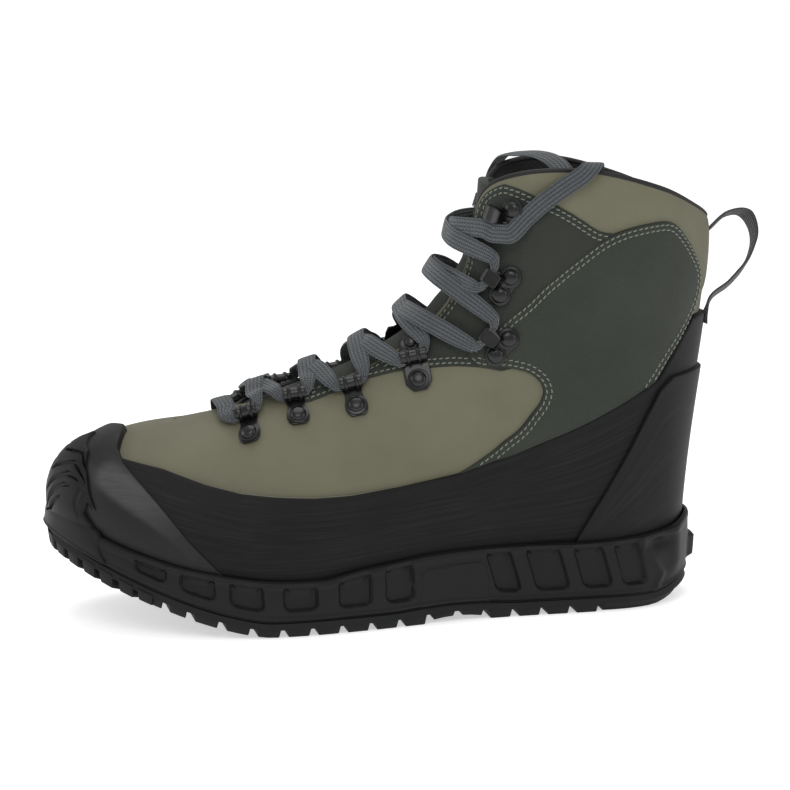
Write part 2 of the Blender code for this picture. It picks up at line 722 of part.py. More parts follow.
def foxing_front(side):
    return row_where(side, 11, 16, lambda v, side: foxing_h(v, side) > foot_h(v, side) + 0.03)


def make_toe_cap(finish):
    """Cap in front of a slanted line, round the toe."""
    places = round_toe(cap_end(LATERAL), cap_end(MEDIAL))
    grids = [girdle(places, 6, foot_h, cap_h, off) for off in (SEAT + CAP_WALL, SEAT)]
    return slab("toe_cap", *grids, finish)


def make_rand(finish):
    """Band from the cap's edge on one side, round the heel, to the cap's edge on the other."""
    places = round_heel(rand_front(LATERAL), rand_front(MEDIAL))

    def low(v, side):
        return max(foot_h(v, side), cap_h(v, side) + 0.008)

    grids = [girdle(places, 3, low, rand_h, off) for off in (SEAT + RAND_WALL, SEAT)]
    return slab("rand", *grids, finish)


def make_foxing(finish):
    """Second layer of rubber round the heel, over the rand."""
    places = round_heel(foxing_front(LATERAL), foxing_front(MEDIAL))
    inside = SEAT + RAND_WALL + GAP
    grids = [girdle(places, 4, foot_h, foxing_h, off) for off in (inside + FOXING_WALL, inside)]
    return slab("heel_foxing", *grids, finish)


def make_bumper(finish):
    """Thick block over the tip of the toe cap, thinning towards its top and sides."""
    end = BUMPER_TOP[-1][0]
    places = round_toe(end, end)
    inside = SEAT + CAP_WALL + SEAT
    outer, inner = [], []
    for v, side in places:
        low = above_lip(v, side, BUMPER_RISE)
        high = height_on_rib(v, side, row_value(BUMPER_TOP, v) * INSTEP_HEIGHT)
        line_out, line_in = [], []
        for step in range(BUMPER_HEIGHTS + 1):
            share = step / BUMPER_HEIGHTS
            wall = BUMPER_WALL * (1 - BUMPER_THIN_TOP * share ** 2.2) * (1 - BUMPER_THIN_SIDE * (v / end) ** 4)
            h = low + (high - low) * share
            line_out.append(surface(v, side, h, inside + wall))
            line_in.append(surface(v, side, h, inside))
        outer.append(line_out)
        inner.append(line_in)
    return slab("toe_bumper", outer, inner, finish)


# Metal, laces and webbing.

def ribbon_shape(points, outs, width, wall):
    """Closed flat strip along points, its face towards outs."""
    shape = bmesh.new()
    rings = []
    for index, (point, out) in enumerate(zip(points, outs)):
        tangent = (points[min(index + 1, len(points) - 1)] - points[max(index - 1, 0)]).normalized()
        across = tangent.cross(out).normalized() * width / 2
        face = across.cross(tangent).normalized() * wall / 2
        rings.append([point + across - face, point + across + face,
                      point - across + face, point - across - face])
    grid = add_grid(shape, rings)
    grid_faces(shape, grid, closed=True)
    shape.faces.new(grid[0])
    shape.faces.new(grid[-1])
    return shape


def curve_through(points, steps):
    """Smooth curve through points, with steps stretches between neighbours."""
    result = []
    for index in range(len(points) - 1):
        before = points[index - 1] if index else points[0] * 2 - points[1]
        after = points[index + 2] if index + 2 < len(points) else points[-1] * 2 - points[-2]
        for step in range(steps):
            result.append(smooth(before, points[index], points[index + 1], after, step / steps))
    return result + [points[-1]]


def join(target, others):
    """Union of an object with others, which are removed; the result is a plain mesh."""
    for other in others:
        union = target.modifiers.new("union", "BOOLEAN")
        union.operation = "UNION"
        union.object = other
    bpy.context.view_layer.update()
    evaluated = target.evaluated_get(bpy.context.evaluated_depsgraph_get())
    mesh = bpy.data.meshes.new_from_object(evaluated)
    mesh.name = target.name
    target.modifiers.clear()
    target.data = mesh
    for other in others:
        bpy.data.objects.remove(other)
    return target


def bent_strip(name, centre_line, wall, width, finish):
    """Strip of metal bent in its own XZ plane, as wide as width along Y."""
    flat = bpy.data.curves.new(name, "CURVE")
    flat.dimensions = "2D"
    flat.fill_mode = "BOTH"
    flat.extrude = width / 2
    left, right = [], []
    for index, (x, z) in enumerate(centre_line):
        before = Vector(centre_line[max(index - 1, 0)])
        after = Vector(centre_line[min(index + 1, len(centre_line) - 1)])
        run = (after - before).normalized() * wall / 2
        left.append((x - run.y, z + run.x))
        right.append((x + run.y, z - run.x))
    outline = left + right[::-1]
    spline = flat.splines.new("POLY")
    spline.points.add(len(outline) - 1)
    for point, (x, z) in zip(spline.points, outline):
        point.co = (x, z, 0, 1)
    spline.use_cyclic_u = True
    holder = bpy.data.objects.new(name, flat)
    parts_collection.objects.link(holder)
    bpy.context.view_layer.update()
    mesh = bpy.data.meshes.new_from_object(holder.evaluated_get(bpy.context.evaluated_depsgraph_get()))
    bpy.data.objects.remove(holder)
    mesh.transform(Matrix.Rotation(pi / 2, 4, "X"))
    shape = bmesh.new()
    shape.from_mesh(mesh)
    return new_object(name, finish_mesh(name, shape), finish)


def rivet(x, y, finish):
    """Rivet head on a metal plate."""
    shape = bmesh.new()
    depth = METAL_WALL * RIVET_DEPTH
    bmesh.ops.create_cone(shape, cap_ends=True, segments=8, radius1=RIVET_DIAMETER / 2,
                          radius2=RIVET_DIAMETER * RIVET_CROWN / 2, depth=depth,
                          matrix=Matrix.Translation((x, y, METAL_WALL * 0.7 + depth / 2)))
    return new_object("rivet", finish_mesh("rivet", shape), finish)


def plate(x, length, width, finish):
    shape = bmesh.new()
    bmesh.ops.create_cube(shape, size=1, matrix=Matrix.Translation((x, 0, METAL_WALL / 2))
                          @ Matrix.Diagonal((length, width, METAL_WALL, 1)))
    return new_object("plate", finish_mesh("plate", shape), finish)


def loop_master(finish):
    """Lace loop: a plate under a rivet, curled over at the throat into an eye."""
    line = [(LOOP_RIVET + RIVET_DIAMETER / 2, METAL_WALL / 2), (-LOOP_EYE, METAL_WALL / 2)]
    for step in range(1, 8):
        angle = -pi / 2 - pi * EYE_TURN * step / 7
        line.append((-LOOP_EYE + EYE_RADIUS * cos(angle), METAL_WALL / 2 + EYE_RADIUS + EYE_RADIUS * sin(angle)))
    piece = bent_strip("lace_loop", line, METAL_WALL, LOOP_WIDTH, finish)
    return join(piece, [rivet(LOOP_RIVET, 0, finish)])


def hook_master(finish):
    """Speed hook: a plate under two rivets, curled back over itself at the throat."""
    line = [(HOOK_FOOT, METAL_WALL / 2), (-HOOK_BEND, METAL_WALL / 2)]
    for step in range(1, 6):
        angle = -pi / 2 - pi * step / 5
        line.append((-HOOK_BEND + HOOK_RADIUS * cos(angle),
                     METAL_WALL / 2 + HOOK_RADIUS + HOOK_RADIUS * sin(angle)))
    line.append((0.0, METAL_WALL / 2 + 2 * HOOK_RADIUS + HOOK_LIP))
    piece = bent_strip("lace_hook", line, METAL_WALL, HOOK_WIDTH, finish)
    base_plate = plate(HOOK_PLATE_MIDDLE, HOOK_PLATE_LENGTH, HOOK_PLATE_WIDTH, finish)
    rivets = [rivet(HOOK_RIVET, side * HOOK_RIVET_STEP, finish) for side in (LATERAL, MEDIAL)]
    return join(piece, [base_plate] + rivets)


def fitting_frame(v, reach, side):
    """Matrix of a fitting: X leads away from the throat, Z out of the facing."""
    point, out = over_throat(v, reach * side, FITTING_SEAT)
    away = (over_throat(v, (reach + 0.001) * side)[0] - over_throat(v, (reach - 0.001) * side)[0])
    away = (away - out * away.dot(out)).normalized()
    along = out.cross(away)
    return Matrix.Translation(point) @ Matrix((away, along, out)).transposed().to_4x4()


def spread_points(mesh, matrix):
    """Corners, edge middles and face middles of a mesh, in the shared frame."""
    places = [v.co for v in mesh.vertices]
    places += [(mesh.vertices[a].co + mesh.vertices[b].co) / 2 for a, b in (e.vertices for e in mesh.edges)]
    places += [polygon.center for polygon in mesh.polygons]
    return [matrix @ place for place in places]


def nearest_gap(mesh, matrix, tree, tree_points):
    """Smallest distance between a placed mesh and the body that tree holds."""
    gap = min(tree.find_nearest(place)[3] for place in spread_points(mesh, matrix))
    own = BVHTree.FromPolygons([matrix @ v.co for v in mesh.vertices], [p.vertices for p in mesh.polygons])
    middle = matrix.translation
    for place in tree_points:
        if (place - middle).length < SEAT_REACH:
            gap = min(gap, own.find_nearest(place)[3])
    return gap


def seated(mesh, matrix, out, carrier):
    """Matrix moved along out until the mesh lies SEAT_GAP from its carrier."""
    tree = BVHTree.FromPolygons([v.co for v in carrier.vertices], [p.vertices for p in carrier.polygons])
    tree_points = spread_points(carrier, Matrix.Identity(4))
    for _ in range(SEAT_STEPS):
        gap = nearest_gap(mesh, matrix, tree, tree_points)
        matrix = Matrix.Translation(out * (SEAT_GAP - gap) * SEAT_SHARE) @ matrix
    return matrix


def make_fittings(finish, carrier):
    masters = {"loop": loop_master(finish), "hook": hook_master(finish)}
    for side, side_name in ((LATERAL, "lateral"), (MEDIAL, "medial")):
        counts = {"loop": 0, "hook": 0}
        for kind, v, reach in FITTINGS:
            counts[kind] += 1
            piece = bpy.data.objects.new(f"lace_{kind}_{side_name}_{counts[kind]}", masters[kind].data)
            frame = fitting_frame(v, reach, side)
            piece.matrix_world = seated(piece.data, frame, frame.col[2].to_3d().normalized(), carrier)
            parts_collection.objects.link(piece)
    for master in masters.values():
        bpy.data.objects.remove(master)


def throat_speed(v):
    """Length of throat edge for each row."""
    return (base(v + 0.2, LATERAL, 1) - base(v - 0.2, LATERAL, 1)).length / 0.4


def lace_end_reach(kind, reach):
    """Where a lace stops short of its loop or hook."""
    if kind == "loop":
        return reach - LOOP_EYE - EYE_RADIUS - METAL_WALL / 2 - 2 * GAP
    return reach - HOOK_BEND - HOOK_RADIUS - METAL_WALL / 2 - 2 * GAP


def lace_strip(start, end, lift, finish, name="strip"):
    """Flat lace over the throat from one (v, reach) place to another, lifted in its middle."""
    points, outs = [], []
    for step in range(LACE_STEPS + 1):
        share = step / LACE_STEPS
        v = start[0] + (end[0] - start[0]) * share
        reach = start[1] + (end[1] - start[1]) * share
        point, out = over_throat(v, reach, LACE_SEAT + lift * sin(pi * share))
        points.append(point)
        outs.append(out)
    return new_object(name, finish_mesh(name, ribbon_shape(points, outs, LACE_WIDTH, LACE_WALL)), finish)


def make_laces(finish):
    """A bar over the lowest pair of loops, and a joined crossing between each pair and the next."""
    kind, v, reach = FITTINGS[0]
    stop = lace_end_reach(kind, reach)
    lace_strip((v - BAR_BACK, -stop), (v - BAR_BACK, stop), LACE_LIFT / 2, finish, "lace_bar")
    for index in range(len(FITTINGS) - 1):
        kind, v, reach = FITTINGS[index]
        next_kind, next_v, next_reach = FITTINGS[index + 1]
        low, high = lace_end_reach(kind, reach), lace_end_reach(next_kind, next_reach)
        shift = LACE_WIDTH * LACE_SHIFT
        first_shift = BAR_SHIFT if index == 0 else 1.0
        v_low = v + shift * first_shift / throat_speed(v)
        v_high = next_v - shift / throat_speed(next_v)
        under = lace_strip((v_low, low), (v_high, -high), LACE_LIFT - LACE_WALL / 2, finish)
        over = lace_strip((v_low, -low), (v_high, high), LACE_LIFT, finish, f"lace_crossing_{index + 1}")
        join(over, [under])


def make_cord(name, route, finish):
    """Plain tube for a loose end of lace."""
    curve = bpy.data.curves.new(name, "CURVE")
    curve.dimensions = "3D"
    curve.bevel_depth = LACE_END_DIAMETER / 2
    curve.bevel_resolution = 1
    curve.use_fill_caps = True
    points = curve_through([Vector(point) for point in route], 2)
    spline = curve.splines.new("POLY")
    spline.points.add(len(points) - 1)
    for knot, point in zip(spline.points, points):
        knot.co = (*point, 1)
    piece = bpy.data.objects.new(name, curve)
    curve.materials.append(finish)
    parts_collection.objects.link(piece)


def make_pull_loop(finish):
    """Webbing loop that stands back from the heel, sewn on at both ends."""
    corners = [Vector((from_heel(along), 0.0, height * BOOT_HEIGHT)) for along, height in PULL_LOOP]
    points = curve_through(corners, 3)
    outs = []
    for index in range(len(points)):
        run = points[min(index + 1, len(points) - 1)] - points[max(index - 1, 0)]
        outs.append(Vector((run.z, 0.0, -run.x)).normalized())
    shape = ribbon_shape(points, outs, PULL_LOOP_WIDTH, PULL_LOOP_WALL)
    return new_object("pull_loop", finish_mesh("pull_loop", shape), finish)


for old in list(bpy.data.objects):
    bpy.data.objects.remove(old)
parts_collection = bpy.data.collections.new("wading_boot")
bpy.context.scene.collection.children.link(parts_collection)

fabric = material("coated_fabric", (0.16, 0.16, 0.11), 0.7)
lining = material("lining", (0.03, 0.03, 0.03), 0.9)
rubber = material("rand_rubber", (0.02, 0.02, 0.021), 0.6)
sole_rubber = material("sole_rubber", (0.018, 0.018, 0.019), 0.55)
metal = material("painted_metal", (0.012, 0.012, 0.013), 0.3, 0.6)
lace = material("lace", (0.07, 0.08, 0.085), 0.85)

upper = make_upper(fabric)
make_tongue(fabric)
make_insole(lining)
make_midsole(sole_rubber)
make_outsole(sole_rubber)
make_rand(rubber)
make_toe_cap(rubber)
make_foxing(rubber)
make_bumper(sole_rubber)
make_fittings(metal, upper.data)
make_laces(lace)
make_cord("lace_end_lateral", LATERAL_END, lace)
make_cord("lace_end_medial", MEDIAL_END, lace)
make_pull_loop(lace)
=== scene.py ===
# Wading boot for the left foot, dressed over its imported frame: toe towards -X, outer side towards -Y.
import json
import math
from functools import lru_cache

import bpy
from mathutils import Matrix, Vector
from mathutils.bvhtree import BVHTree
from mathutils.geometry import delaunay_2d_cdt
from mathutils.kdtree import KDTree

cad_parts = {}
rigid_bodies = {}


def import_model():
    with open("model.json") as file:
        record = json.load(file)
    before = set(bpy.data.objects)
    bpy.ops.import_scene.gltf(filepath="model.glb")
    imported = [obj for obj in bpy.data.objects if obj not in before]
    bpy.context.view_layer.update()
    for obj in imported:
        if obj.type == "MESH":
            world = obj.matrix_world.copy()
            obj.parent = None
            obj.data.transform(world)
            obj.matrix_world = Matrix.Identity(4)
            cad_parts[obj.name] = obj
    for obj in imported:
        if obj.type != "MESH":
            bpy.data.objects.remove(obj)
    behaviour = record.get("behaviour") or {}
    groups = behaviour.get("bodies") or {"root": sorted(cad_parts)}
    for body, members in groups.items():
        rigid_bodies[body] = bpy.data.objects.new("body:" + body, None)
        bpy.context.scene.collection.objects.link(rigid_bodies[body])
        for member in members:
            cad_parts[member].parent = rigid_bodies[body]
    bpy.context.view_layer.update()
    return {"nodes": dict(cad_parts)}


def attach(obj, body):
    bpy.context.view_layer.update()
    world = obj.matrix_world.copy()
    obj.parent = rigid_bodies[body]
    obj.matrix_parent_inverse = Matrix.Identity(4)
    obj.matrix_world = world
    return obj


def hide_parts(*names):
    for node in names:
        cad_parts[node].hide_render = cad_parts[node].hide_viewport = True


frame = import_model()
bpy.ops.object.select_all(action="DESELECT")
print("frame loaded")

# Camera, light and floor.
view = {"target": (-0.095, 0.0, 0.1), "distance": 1.4, "azimuth": -12.0, "elevation": 10.0,
        "lens": 130.8, "shiftUp": 0.0091}
lampAim = (-0.1, 0.0, 0.08)
# Lamps: name, place, size, power.
lamps = (("keyLight", (-0.55, -1.3, 1.35), 1.1, 9.0), ("sideLight", (1.3, -0.9, 0.8), 1.0, 4.0),
         ("topLight", (-0.1, 0.35, 1.6), 1.4, 9.0), ("toeLight", (-1.5, 0.3, 0.5), 0.9, 4.0))
roomStrength = 0.55


def addCamera():
    turn, rise = math.radians(view["azimuth"]), math.radians(view["elevation"])
    back = Vector((math.sin(turn) * math.cos(rise), -math.cos(turn) * math.cos(rise), math.sin(rise)))
    bpy.ops.object.camera_add(location=Vector(view["target"]) + back * view["distance"])
    camera = bpy.context.object
    camera.rotation_euler = (-back).to_track_quat("-Z", "Y").to_euler()
    camera.data.lens = view["lens"]
    camera.data.shift_y = view["shiftUp"]
    bpy.context.scene.camera = camera


def addArea(name, place, size, power):
    bpy.ops.object.light_add(type="AREA", location=place)
    lamp = bpy.context.object
    lamp.name = name
    lamp.data.shape = "DISK"
    lamp.data.size = size
    lamp.data.energy = power
    lamp.rotation_euler = (Vector(lampAim) - Vector(place)).to_track_quat("-Z", "Y").to_euler()


def addStudio():
    for lamp in lamps:
        addArea(*lamp)
    world = bpy.data.worlds.new("softRoom")
    world.use_nodes = True
    background = world.node_tree.nodes["Background"]
    background.inputs["Color"].default_value = (1, 1, 1, 1)
    background.inputs["Strength"].default_value = roomStrength
    bpy.context.scene.world = world
    bpy.context.scene.view_settings.view_transform = "Standard"


addCamera()
addStudio()
print("camera and light placed")

# The last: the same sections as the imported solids.
lastLength = 0.3
ballWidth = 0.104
instepHeight = 0.106
bootHeight = 0.214
collarWidth = 0.08
soleHeight = 0.028
lipRise = 0.007
heelToOrigin = 0.15
ribGap = 0.0165    # metres from rib to rib, about
ribHeight = 0.15    # metres up a rib, about
columnNames = ("along", "lateral", "medial", "floor", "lip", "flare", "lowOut", "lowUp",
               "topAlong", "instep", "shaft", "topLateral", "topMedial", "medialBack", "topOut", "topDrop")
ribTable = (
    (1, 0.058, 0.058, 1.66, 0.93, 1.2, 0.087, 0.255, 0.823, 0.902, 0, 0.062, 0.062, 0, 0.433, 0.03),
    (0.992, -0.077, 0.188, 1.625, 0.93, 1.2, 0.085, 0.255, 0.823, 0.902, 0, 0.062, 0.062, 0, 0.425, 0.026),
    (0.957, -0.231, 0.308, 1.464, 0.95, 1.2, 0.08, 0.25, 0.811, 0.907, 0, 0.062, 0.062, 0, 0.385, 0.02),
    (0.9, -0.356, 0.404, 1.214, 1, 1.18, 0.077, 0.245, 0.793, 0.915, 0, 0.062, 0.062, 0, 0.34, 0.018),
    (0.823, -0.447, 0.471, 0.982, 1, 1.15, 0.067, 0.26, 0.767, 0.931, 0, 0.058, 0.058, 0, 0.32, 0.018),
    (0.74, -0.495, 0.49, 0.839, 1, 1.12, 0.058, 0.283, 0.73, 0.957, 0, 0.05, 0.05, 0, 0.3, 0.024),
    (0.69, -0.505, 0.481, 0.804, 1, 1.1, 0.05, 0.3, 0.703, 0.978, 0.005, -0.062, 0.162, 0, 0.27, 0.045),
    (0.633, -0.5, 0.457, 0.796, 1, 1.05, 0.042, 0.33, 0.643, 1, 0.028, -0.112, 0.2, 0, 0.24, 0.085),
    (0.543, -0.466, 0.404, 0.875, 1, 0.95, 0.029, 0.358, 0.557, 1, 0.093, -0.156, 0.212, 0, 0.195, 0.132),
    (0.45, -0.418, 0.356, 0.964, 1, 0.8, 0.012, 0.38, 0.467, 1, 0.222, -0.181, 0.212, 0.004, 0.192, 0.189),
    (0.377, -0.385, 0.332, 1, 1, 0.75, 0.005, 0.396, 0.417, 1, 0.343, -0.194, 0.212, 0.01, 0.202, 0.245),
    (0.323, -0.365, 0.322, 1, 1, 0.78, 0.005, 0.425, 0.38, 1, 0.481, -0.2, 0.212, 0.017, 0.208, 0.283),
    (0.277, -0.356, 0.317, 1, 1, 0.82, 0.005, 0.453, 0.357, 1, 0.648, -0.206, 0.212, 0.024, 0.212, 0.321),
    (0.23, -0.351, 0.317, 1, 1, 0.86, 0.008, 0.472, 0.34, 1, 0.898, -0.225, 0.225, 0.03, 0.192, 0.425),
    (0.17, -0.346, 0.322, 1, 1, 0.88, 0.01, 0.495, 0.287, 1, 0.991, -0.4, 0.388, 0.026, 0.067, 0.519),
    (0.1, -0.332, 0.312, 1.036, 1.05, 0.88, 0.015, 0.519, 0.177, 1, 1, -0.5, 0.488, 0.01, -0.01, 0.566),
    (0.04, -0.25, 0.24, 1.07, 1.25, 0.86, 0.022, 0.495, 0.057, 1, 0.917, -0.45, 0.438, 0, -0.029, 0.519),
    (0.008, -0.13, 0.13, 1.107, 1.6, 0.84, 0.024, 0.472, -0.023, 1, 0.815, -0.25, 0.25, 0, -0.01, 0.49),
    (0, 0, 0, 1.107, 1.7, 0.84, 0.019, 0.472, -0.057, 1, 0.759, 0, 0, 0, 0.01, 0.472),
)
heelRow = len(ribTable) - 1
throatRow = 5
lateral, medial = -1, 1

# Lines seen from the side. First value: share of the length. Second: share of the instep height.
randTop = ((1.05, 0.83), (0.923, 0.768), (0.86, 0.728), (0.797, 0.664), (0.743, 0.624), (0.677, 0.608),
           (0.627, 0.6), (0.57, 0.603), (0.48, 0.632), (0.39, 0.672), (0.3, 0.748), (0.21, 0.844),
           (0.177, 0.884), (0.083, 1.018), (0.057, 1.057), (0.017, 1.226), (-0.01, 1.33), (-0.08, 1.345))
foxingTop = ((1.05, 0.26), (0.205, 0.26), (0.193, 0.36), (0.143, 0.585), (0.083, 0.887), (0.057, 1.02),
             (0.033, 1.075), (-0.08, 1.105))
capEdge = ((1.05, 1.5), (0.934, 1.0), (0.924, 0.86), (0.9235, 0.8), (0.9167, 0.745), (0.902, 0.69),
           (0.87, 0.585), (0.8267, 0.434), (0.77, 0.27), (0.5, -0.4))
bumperTop = ((0.0, 0.82), (1.0, 0.77), (1.5, 0.68), (2.1, 0.52))
capPeak = {"half": 0.016, "x": -0.2262, "rise": 0.0058}    # the cap's peak over the middle of the toe


def rowValues(index, side):
    if index < 0:
        index, side = -index, -side
    if index > heelRow:
        index, side = 2 * heelRow - index, -side
    values = dict(zip(columnNames, ribTable[index]))
    values["footY"] = values["lateral"] if side == lateral else values["medial"]
    values["topY"] = values["topLateral"] if side == lateral else values["topMedial"]
    return values


def smoothBetween(before, start, end, after, share):
    slopeIn = (end - before) / 2
    slopeOut = (after - start) / 2
    rest = 1 - share
    return (start * (1 + 2 * share) * rest ** 2 + slopeIn * share * rest ** 2
            + end * (3 - 2 * share) * share ** 2 - slopeOut * rest * share ** 2)


@lru_cache(maxsize=None)
def stationAt(v, side):
    first = min(int(v // 1), heelRow)
    share = v - first
    rows = [rowValues(first + step, side) for step in (-1, 0, 1, 2)]
    values = {key: smoothBetween(rows[0][key], rows[1][key], rows[2][key], rows[3][key], share)
              for key in rows[0]}
    if -throatRow <= v <= throatRow:
        for key in ("topY", "topAlong", "instep", "shaft"):
            values[key] = rows[1][key] * (1 - share) + rows[2][key] * share
    return values


def foldPlace(v, side):    # rows past the toe or the heel lie on the other side
    if v < 0:
        v, side = -v, -side
    if v > heelRow:
        v, side = 2 * heelRow - v, -side
    return v, side


def fromHeel(along):
    return (heelToOrigin - along) * lastLength


@lru_cache(maxsize=None)
def footPoint(v, side):
    here = stationAt(v, side)
    return Vector((fromHeel(here["along"]), here["footY"] * ballWidth, here["floor"] * soleHeight))


@lru_cache(maxsize=None)
def outlineNormal(v, side):
    if v < 0:
        v, side = -v, -side
    tangent = footPoint(v + 0.02, side) - footPoint(v - 0.02, side)
    return Vector((tangent.y, -tangent.x, 0)).normalized() * -side


@lru_cache(maxsize=None)
def ribHandles(v, side):
    v, side = foldPlace(v, side)
    here = stationAt(v, side)
    out = outlineNormal(v, side)
    up = Vector((0, 0, 1))
    foot = footPoint(v, side)
    back = here["medialBack"] if side == medial else 0.0
    top = Vector((fromHeel(here["topAlong"] - back), here["topY"] * collarWidth,
                  here["instep"] * instepHeight + here["shaft"] * (bootHeight - instepHeight)))
    low = foot + out * here["lowOut"] * ballWidth + up * here["lowUp"] * instepHeight
    high = top + out * here["topOut"] * ballWidth - up * here["topDrop"] * instepHeight
    return foot, low, high, top


def onLast(v, side, h):
    foot, low, high, top = ribHandles(round(v, 5), side)
    rest = 1 - h
    return foot * rest ** 3 + low * 3 * h * rest ** 2 + high * 3 * h ** 2 * rest + top * h ** 3


def slopesAt(v, side, h, step=0.01):
    along = (onLast(v + step, side, h) - onLast(v - step, side, h)) / (2 * step)
    up = (onLast(v, side, h + step) - onLast(v, side, h - step)) / (2 * step)
    return along, up


def outOfLast(v, side, h):
    along, up = slopesAt(v, side, h)
    return along.cross(up).normalized() * side * -1


def skin(v, side, h, off=0.0):
    return onLast(v, side, h) + outOfLast(v, side, h) * off


def reachOnRib(v, side, tooLow):    # h at which something stops being too low
    low, high = 0.0, 0.97
    for _ in range(22):
        middle = (low + high) / 2
        if tooLow(onLast(v, side, middle)):
            low = middle
        else:
            high = middle
    return low


def tableDown(table, place):
    for (start, startValue), (end, endValue) in zip(table, table[1:]):
        if place >= end:
            return startValue + (endValue - startValue) * (place - start) / (end - start)
    return table[-1][1]


def shareAlong(point):
    return heelToOrigin - point.x / lastLength


def lineHeight(table, point):    # height of a line where it passes over or under a point
    return tableDown(table, shareAlong(point)) * instepHeight


def tableUp(table, place):
    if place <= table[0][0]:
        return table[0][1]
    for (start, startValue), (end, endValue) in zip(table, table[1:]):
        if place <= end:
            return startValue + (endValue - startValue) * (place - start) / (end - start)
    return table[-1][1]


@lru_cache(maxsize=None)
def lineOnRib(v, side, name):
    table = {"rand": randTop, "foxing": foxingTop, "cap": capEdge}[name]

    def tooLow(point):
        share = abs(point.y) / capPeak["half"]
        if name == "cap" and share < 1 and point.x < capPeak["x"] - capPeak["rise"] * share:
            return True
        return point.z < lineHeight(table, point)
    return reachOnRib(v, side, tooLow)


@lru_cache(maxsize=None)
def lipOnRib(v, side, rise=0.0):
    here = stationAt(*foldPlace(v, side))
    height = here["floor"] * soleHeight + here["lip"] * lipRise + rise
    return reachOnRib(v, side, lambda point: point.z < height)


def footOnRib(v, side):
    return lipOnRib(v, side, -0.6 * lipRise)


def rowWhere(side, start, end, holds):    # the first row at which something holds
    for _ in range(20):
        middle = (start + end) / 2
        if holds(middle, side):
            end = middle
        else:
            start = middle
    return end


# The throat, measured out from its middle over the facings.
def facingEdge(v, side):
    out = outOfLast(v, side, 1)
    over = Vector((0, -side, 0))
    return onLast(v, side, 1), (over - out * over.dot(out)).normalized()


def walkFrom(v, side, h, heading, distance, paces=1):
    for _ in range(paces):
        along, up = slopesAt(v, side, h)
        a, b, c = along.dot(along), along.dot(up), up.dot(up)
        p, q = along.dot(heading), up.dot(heading)
        spread = a * c - b * b
        v += (c * p - b * q) / spread * distance / paces
        h += (a * q - b * p) / spread * distance / paces
        out = outOfLast(v, side, h)
        heading = (heading - out * heading.dot(out)).normalized()
    return v, h


def throatPoint(v, reach):
    left, leftOver = facingEdge(v, lateral)
    right, rightOver = facingEdge(v, medial)
    width = (right - left).length
    if abs(reach) > width / 2:
        side = lateral if reach < 0 else medial
        placeV, h = walkFrom(v, side, 1.0, -facingEdge(v, side)[1], abs(reach) - width / 2, 5)
        return onLast(placeV, side, h)
    share = 0.5 + reach / max(width, 1e-6)
    pull = width * 0.9
    rest = 1 - share
    return (left * (1 + 2 * share) * rest ** 2 + leftOver * pull * share * rest ** 2
            + right * (3 - 2 * share) * share ** 2 + rightOver * pull * rest * share ** 2)


def overThroat(v, reach, off=0.0):
    point = throatPoint(v, reach)
    along = throatPoint(v + 0.05, reach) - throatPoint(v - 0.05, reach)
    across = throatPoint(v, reach + 0.0008) - throatPoint(v, reach - 0.0008)
    out = along.cross(across).normalized()
    return point + out * off, out


def placeFromSide(side, x, z, start=None):    # rib and height of a point seen from the side
    if start is None:
        def miss(place):
            here = onLast(place[0], side, place[1])
            return (here.x - x) ** 2 + (here.z - z) ** 2
        start = min(((v / 2, h / 16) for v in range(37) for h in range(1, 16)), key=miss)
    v, h = start
    for _ in range(14):
        here = onLast(v, side, h)
        along, up = slopesAt(v, side, h)
        spread = along.x * up.z - up.x * along.z
        if abs(spread) < 1e-7:
            break
        missX, missZ = x - here.x, z - here.z
        v = min(max(v + 0.8 * (missX * up.z - up.x * missZ) / spread, -1.0), 19.0)
        h = min(max(h + 0.8 * (along.x * missZ - along.z * missX) / spread, 0.0), 1.0)
    return v, h


def curveThrough(points, steps):
    result = []
    for index in range(len(points) - 1):
        before = points[index - 1] if index else points[0] * 2 - points[1]
        after = points[index + 2] if index + 2 < len(points) else points[-1] * 2 - points[-2]
        result += [smoothBetween(before, points[index], points[index + 1], after, step / steps)
                   for step in range(steps)]
    return result + [points[-1]]


# Finishes.
def newFinish(name, colour, roughness, **sockets):
    made = bpy.data.materials.new(name)
    made.use_nodes = True
    shader = made.node_tree.nodes["Principled BSDF"]
    shader.inputs["Base Color"].default_value = (*colour, 1)
    shader.inputs["Roughness"].default_value = roughness
    for socket, value in sockets.items():
        shader.inputs[socket].default_value = value
    return made


def addNode(finish, kind, values=None, **settings):
    made = finish.node_tree.nodes.new(kind)
    for key, value in settings.items():
        setattr(made, key, value)
    for key, value in (values or {}).items():
        made.inputs[key].default_value = value
    return made


def join(finish, source, output, target, entry):
    finish.node_tree.links.new(source.outputs[output], target.inputs[entry])


def spaceNode(finish, space, scale=(1, 1, 1), turn=(0, 0, 0)):
    places = addNode(finish, "ShaderNodeTexCoord")
    mapping = addNode(finish, "ShaderNodeMapping", {"Scale": scale, "Rotation": turn})
    join(finish, places, space, mapping, "Vector")
    return mapping


def noiseNode(finish, space, scale, detail=4, stretch=(1, 1, 1), turn=(0, 0, 0)):
    noise = addNode(finish, "ShaderNodeTexNoise", {"Scale": scale, "Detail": detail, "Roughness": 0.6})
    join(finish, spaceNode(finish, space, stretch, turn), "Vector", noise, "Vector")
    return noise


def bandNode(finish, period, direction="X", space="UV", distortion=0.0, turn=(0, 0, 0)):
    bands = addNode(finish, "ShaderNodeTexWave", {"Scale": math.pi / 10 / period, "Distortion": distortion,
                                                 "Detail": 1.0, "Detail Scale": 2.0},
                    wave_type="BANDS", bands_direction=direction)
    join(finish, spaceNode(finish, space, turn=turn), "Vector", bands, "Vector")
    return bands


